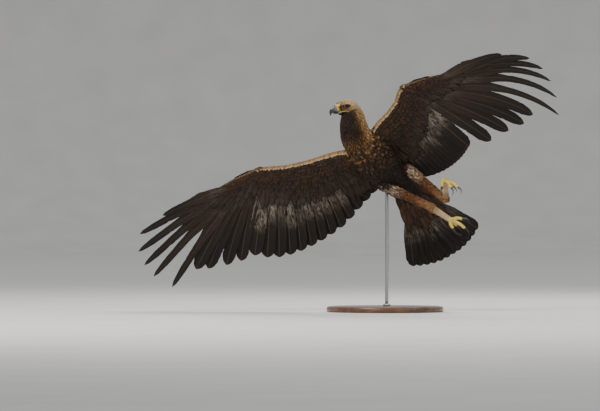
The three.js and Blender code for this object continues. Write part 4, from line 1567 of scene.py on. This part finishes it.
def toe_rings(leg, i):
    path, _, sole = toe_path(leg, i)
    rows, count = 72, 28
    points = curve(path, rows)
    ways = np.gradient(points, axis=0)
    a = np.linspace(0, 2 * math.pi, count, endpoint=False)
    scutes = TOE_LENGTH[i] / 4.2
    rings = []
    for r in range(rows):
        t = r / (rows - 1)
        radius = toe_radius(t)
        pads = 1.1 * math.sin(t * math.pi * (3 if i != 3 else 2)) ** 2
        scute = 0.5 * (abs(math.sin(math.pi * scutes * t)) ** 0.4 - 0.7)
        up = limit(-np.sin(a) * 1.6 - 0.4)
        down = limit(np.sin(a))
        size = radius + pads * down + scute * up
        place = axes(points[r], ways[r], sole)
        ring = np.stack([np.zeros(count), size * 0.94 * np.cos(a), size * np.sin(a)], 1)
        rings.append(put(place, ring))
    return np.array(rings)


def claw_rings(leg, i):
    _, way, sole = toe_path(leg, i)
    turn = math.radians(80)
    bend = CLAW_LENGTH[i] / turn
    tip = np.array(leg["foot"]) + way * TOE_LENGTH[i] + sole * 2
    rings = []
    for k in np.linspace(-0.08, 1, 44):
        a = k * turn
        at = tip + way * (bend * math.sin(a) + 4.5) + sole * bend * (1 - math.cos(a))
        heading = way * math.cos(a) + sole * math.sin(a)
        r = 4.9 + (0.3 - 4.9) * max(k, 0) ** 0.9
        rings.append(oval(axes(at, heading, sole), 0, 0, 0, r * 0.78, r, 24))
    return np.array(rings)


def feet():
    plates = scute_tree()
    for name, leg in LEGS.items():
        scutes(name, leg, plates)
        foot, ankle = np.array(leg["foot"], float), np.array(leg["ankle"], float)
        up = ankle - foot
        ball = limb_rings([foot + up * 0.2, foot, foot - up * 0.1], [9.5, 11.5, 9], 32, 30)
        parts = [loft(ball)] + [loft(toe_rings(leg, i)) for i in range(4)]
        obj = remesh(f"toes_{name}", parts, 0.9, 2)
        finish_piece(obj, TOE_SKIN, "yellow_skin", f"foot_{name}")
        for i, toe in enumerate(TOE_NAMES):
            loft_piece(f"talon_{name}_{toe}", claw_rings(leg, i), CLAW, "claw_horn", f"claw_{name}_{toe}")


# Parts grown by trees: bristles scattered over the face, and scutes set along the toes

BRISTLE_SIZES = {"Spacing": 0.001, "Length": 0.0085, "Thickness": 0.00013, "Seed": 7}
SCUTE_SIZES = {"Length": 0.0046, "Width": 0.0108, "Thickness": 0.0026}


def new_tree(name, sizes):
    """Empty tree with a geometry input and output, an input for each size, and one for a material."""
    tree = bpy.data.node_groups.new(name, "GeometryNodeTree")
    tree.interface.new_socket("Geometry", in_out="INPUT", socket_type="NodeSocketGeometry")
    for label, size in sizes.items():
        kind = "NodeSocketInt" if isinstance(size, int) else "NodeSocketFloat"
        tree.interface.new_socket(label, in_out="INPUT", socket_type=kind).default_value = size
    tree.interface.new_socket("Material", in_out="INPUT", socket_type="NodeSocketMaterial")
    tree.interface.new_socket("Geometry", in_out="OUTPUT", socket_type="NodeSocketGeometry")
    return tree, node(tree, "NodeGroupInput").outputs, node(tree, "NodeGroupOutput")


def attribute(tree, name, kind="FLOAT_VECTOR"):
    return value(tree, "GeometryNodeInputNamedAttribute", {"Name": name}, data_type=kind)


def stored(tree, geometry, name, content, kind):
    inputs = {"Geometry": geometry, "Name": name, "Value": content}
    return value(tree, "GeometryNodeStoreNamedAttribute", inputs, data_type=kind, domain="CORNER")


def planted(tree, points, instance, turn, scale):
    """One copy of the instance on each point, made real."""
    inputs = {"Points": points, "Instance": instance, "Rotation": turn, "Scale": scale}
    copies = value(tree, "GeometryNodeInstanceOnPoints", inputs)
    return value(tree, "GeometryNodeRealizeInstances", {"Geometry": copies})


def finish_tree(tree, geometry, material, result):
    done = value(tree, "GeometryNodeSetMaterial", {"Geometry": geometry, "Material": material})
    tree.links.new(done, result.inputs[0])
    return tree


def grown(name, source, tree, values):
    """Plain mesh piece made by a tree from a source object, which is then removed."""
    modifier = source.modifiers.new(name, "NODES")
    modifier.node_group = tree
    for item in tree.interface.items_tree:
        if item.in_out == "INPUT" and item.name in values:
            modifier[item.identifier] = values[item.name]
    graph = bpy.context.evaluated_depsgraph_get()
    mesh = bpy.data.meshes.new_from_object(source.evaluated_get(graph))
    obj = bpy.data.objects.new(name, mesh)
    bpy.context.scene.collection.objects.link(obj)
    bpy.data.objects.remove(source)
    if not mesh.materials:
        mesh.materials.append(values["Material"])
    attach(obj, "root")


def set_vector(mesh, name, values):
    layer = mesh.attributes.new(name, "FLOAT_VECTOR", "POINT")
    layer.data.foreach_set("vector", np.asarray(values, np.float32).ravel())


def copy_of(obj):
    twin = bpy.data.objects.new(obj.name + "_source", obj.data.copy())
    bpy.context.scene.collection.objects.link(twin)
    return twin


def bristle_tree():
    """Thin cones of random length, leaning as their place on the skin says."""
    tree, given, result = new_tree("bristles", BRISTLE_SIZES)
    spread = {"Mesh": given["Geometry"], "Distance Min": given["Spacing"], "Density Max": 600000.0}
    spread.update({"Density Factor": attribute(tree, "density", "FLOAT"), "Seed": given["Seed"]})
    spots = value(tree, "GeometryNodeDistributePointsOnFaces", spread, distribute_method="POISSON")
    shape = {"Vertices": 5, "Side Segments": 2, "Radius Top": 0.1, "Radius Bottom": 1.0, "Depth": 1.0}
    cone = node(tree, "GeometryNodeMeshCone", shape).outputs
    mapped = stored(tree, cone["Mesh"], "own", cone["UV Map"], "FLOAT_VECTOR")
    turn = value(tree, "FunctionNodeAlignRotationToVector", {"Vector": attribute(tree, "lie")}, axis="Z")
    chance = {2: 0.6, 3: 1.15, "Seed": given["Seed"]}
    part = node(tree, "FunctionNodeRandomValue", chance, data_type="FLOAT").outputs[1]
    thick, length = given["Thickness"], maths(tree, "MULTIPLY", given["Length"], part)
    scale = triple(tree, thick, thick, length)
    real = planted(tree, spots, mapped, turn, scale)
    patch = {0: attribute(tree, "own"), "Scale": TUFT_PATCH}
    patch = value(tree, "ShaderNodeVectorMath", patch, operation="SCALE")
    baked = value(tree, "ShaderNodeVectorMath", {0: attribute(tree, "unwrap"), 1: patch}, operation="ADD")
    return finish_tree(tree, stored(tree, real, "OFBake", baked, "FLOAT2"), given["Material"], result)


def bristles(head):
    """Fine bristles in front of the eye and round the root of the bill."""
    source = copy_of(head)
    verts = mesh_arrays(source)[0]
    normals = np.array([v.normal for v in source.data.vertices])
    x, y, z = inside(HEAD, verts).T
    lores = limit((x - 8) / 4) * (np.abs(z + 2) < 12) * (np.abs(y) > 10)
    bare = np.hypot(x - EYE[0], z - EYE[2]) < 9
    set_number(source.data, "density", np.where(bare, 0, lores))
    ahead = np.array([0.5, 0, 0.25]) @ HEAD[1]
    set_vector(source.data, "lie", unit(normals * 0.7 + ahead))
    around = np.arctan2(y, z) / (2 * math.pi) + 0.5
    unwrap = np.stack([0.98 * around, 0.01 + 0.9 * limit((x + 60) / 90), 0 * x], 1)
    set_vector(source.data, "unwrap", unwrap)
    grown("face_bristles", source, bristle_tree(), {**BRISTLE_SIZES, "Material": BRISTLE})


def scute_tree():
    """Flat ovals, one on each point, turned by the point's up direction and way."""
    tree, given, result = new_tree("scutes", SCUTE_SIZES)
    spots = value(tree, "GeometryNodeMeshToPoints", {"Mesh": given["Geometry"]})
    plate = value(tree, "GeometryNodeMeshUVSphere", {"Segments": 16, "Rings": 8, "Radius": 0.5})
    ways = {"Primary Axis": attribute(tree, "out"), "Secondary Axis": attribute(tree, "way")}
    turn = value(tree, "FunctionNodeAxesToRotation", ways, primary_axis="Z", secondary_axis="X")
    size = {0: triple(tree, given["Length"], given["Width"], given["Thickness"])}
    size["Scale"] = attribute(tree, "size", "FLOAT")
    scale = value(tree, "ShaderNodeVectorMath", size, operation="SCALE")
    return finish_tree(tree, planted(tree, spots, plate, turn, scale), given["Material"], result)


def scutes(name, leg, tree):
    """Broad plates across the top of each toe, widest at its root."""
    spots, outs, ways, sizes = [], [], [], []
    for i in range(4):
        path, _, sole = toe_path(leg, i)
        count = int(TOE_LENGTH[i] / 3.6)
        points = curve(path, 4 * count)
        tangents = unit(np.gradient(points, axis=0))
        for k in range(count // 3, count):
            t = k / count
            at, along = points[4 * k], tangents[4 * k]
            up = unit(-(sole - along * (sole @ along)))
            radius = toe_radius(t)
            spots.append(at + up * (radius - 0.55))
            outs.append(up + 0.16 * along)
            ways.append(along)
            sizes.append(radius / 6.4)
    source = new_object("scute_source", spots, [])
    set_vector(source.data, "out", outs)
    set_vector(source.data, "way", ways)
    set_number(source.data, "size", sizes)
    grown(f"scutes_{name}", source, tree, {**SCUTE_SIZES, "Material": TOE_SKIN})


# Stand: turned base with an eased edge, and a plain rod

ROD_PLACE = (8, 42)
ROD_RADIUS = 7


def stand():
    place = (np.zeros(3), np.array([[0, 0, 1.0], [1.0, 0, 0], [0, 1.0, 0]]))
    edge = [(0, 240), (0.6, 243), (2.5, 245), (16, 245), (19, 244.2), (21.5, 242), (23.2, 238.5), (24, 233)]
    rings = np.array([oval(place, z, 0, 0, r, r, 160) for z, r in edge + [(24, 120), (24, 12)]])
    loft_piece("stand_foot", rings, WOOD, "stand_wood", "stand_base")
    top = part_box("stand_rod")[1][2] / MM + 12
    rod = [oval(place, z, *ROD_PLACE, ROD_RADIUS, ROD_RADIUS, 48) for z in np.linspace(24.2, top, 24)]
    loft_piece("stand_post", np.array(rod), STEEL, "stand_steel", "stand_rod")
    collar = [(24.1, 11.5), (24.1, 15), (26, 16), (30, 16), (32, 14.5), (33.5, 9), (33.5, 7.4)]
    rings = np.array([oval(place, z, *ROD_PLACE, r, r, 64) for z, r in collar])
    loft_piece("stand_collar", rings, STEEL, "stand_steel")


# Room: round pale floor and soft light

def room():
    """Round pale floor with an upturned rim, wide enough for a camera on every side."""
    count = 96
    flat, rise = 22.0, 4.0
    profile = [(1.5, 0.0), (6.0, 0.0), (flat, 0.0)]
    bends = np.linspace(0, math.pi / 2, 16)[1:]
    profile += [(flat + rise * math.sin(a), rise - rise * math.cos(a)) for a in bends]
    turns = np.linspace(0, 2 * math.pi, count, endpoint=False)
    verts = [(r * math.cos(a), r * math.sin(a), z) for r, z in profile for a in turns]
    faces = [tuple(range(count))]
    for i in range(len(profile) - 1):
        for k in range(count):
            a, b = i * count + k, i * count + (k + 1) % count
            faces.append((a, a + count, b + count, b))
    obj = new_object("floor", np.array(verts) / MM, faces)
    obj.data.materials.append(FLOOR)


def light(name, place, target, size, power, colour):
    data = bpy.data.lights.new(name, "AREA")
    data.size = size
    data.energy = power
    data.color = colour
    obj = bpy.data.objects.new(name, data)
    obj.location = place
    obj.rotation_euler = (Vector(target) - Vector(place)).to_track_quat("-Z", "Y").to_euler()
    bpy.context.scene.collection.objects.link(obj)


def lights():
    centre = (-0.2, 0.0, 0.65)
    light("key", (-2.6, -3.2, 4.2), centre, 2.4, 300, (1.0, 0.97, 0.92))
    light("fill", (3.6, -3.6, 1.8), centre, 3.0, 40, (0.93, 0.96, 1.0))
    light("rim", (1.2, 2.6, 3.8), centre, 2.0, 130, (1.0, 0.98, 0.95))
    world = bpy.data.worlds.new("studio")
    world.use_nodes = True
    sky = world.node_tree.nodes["Background"].inputs
    sky["Color"].default_value = (0.82, 0.84, 0.87, 1)
    sky["Strength"].default_value = 0.75
    bpy.context.scene.world = world


def camera():
    data = bpy.data.cameras.new("camera")
    data.sensor_width = 36
    data.lens = 36 * CAMERA_FAR / FRAME_WIDE
    obj = bpy.data.objects.new("camera", data)
    obj.location = (-0.357, -CAMERA_FAR, 0.447)
    obj.rotation_euler = (math.pi / 2, 0, 0)
    bpy.context.scene.collection.objects.link(obj)
    bpy.context.scene.camera = obj


def bird():
    build_flight()
    body, head = body_skin(), head_skin()
    tree = skin_tree([body, head])
    body_coats(tree)
    face_skin = skin_tree([head])
    head_coat(face_skin)
    bristles(head)
    for name, wing in WINGS.items():
        wing_coat(name, wing)
    tail_coat()
    for obj in (body, head):
        mark_skin(obj)
    limbs = [f"{part}_{side}" for part in ("thigh", "shank") for side in WINGS]
    finish_piece(body, DOWN, "plumage_dark", "torso", "neck", *limbs)
    finish_piece(head, DOWN, "plumage_gold", "head")
    return face_skin


camera()
face_skin = bird()
face(face_skin)
feet()
stand()
room()
lights()
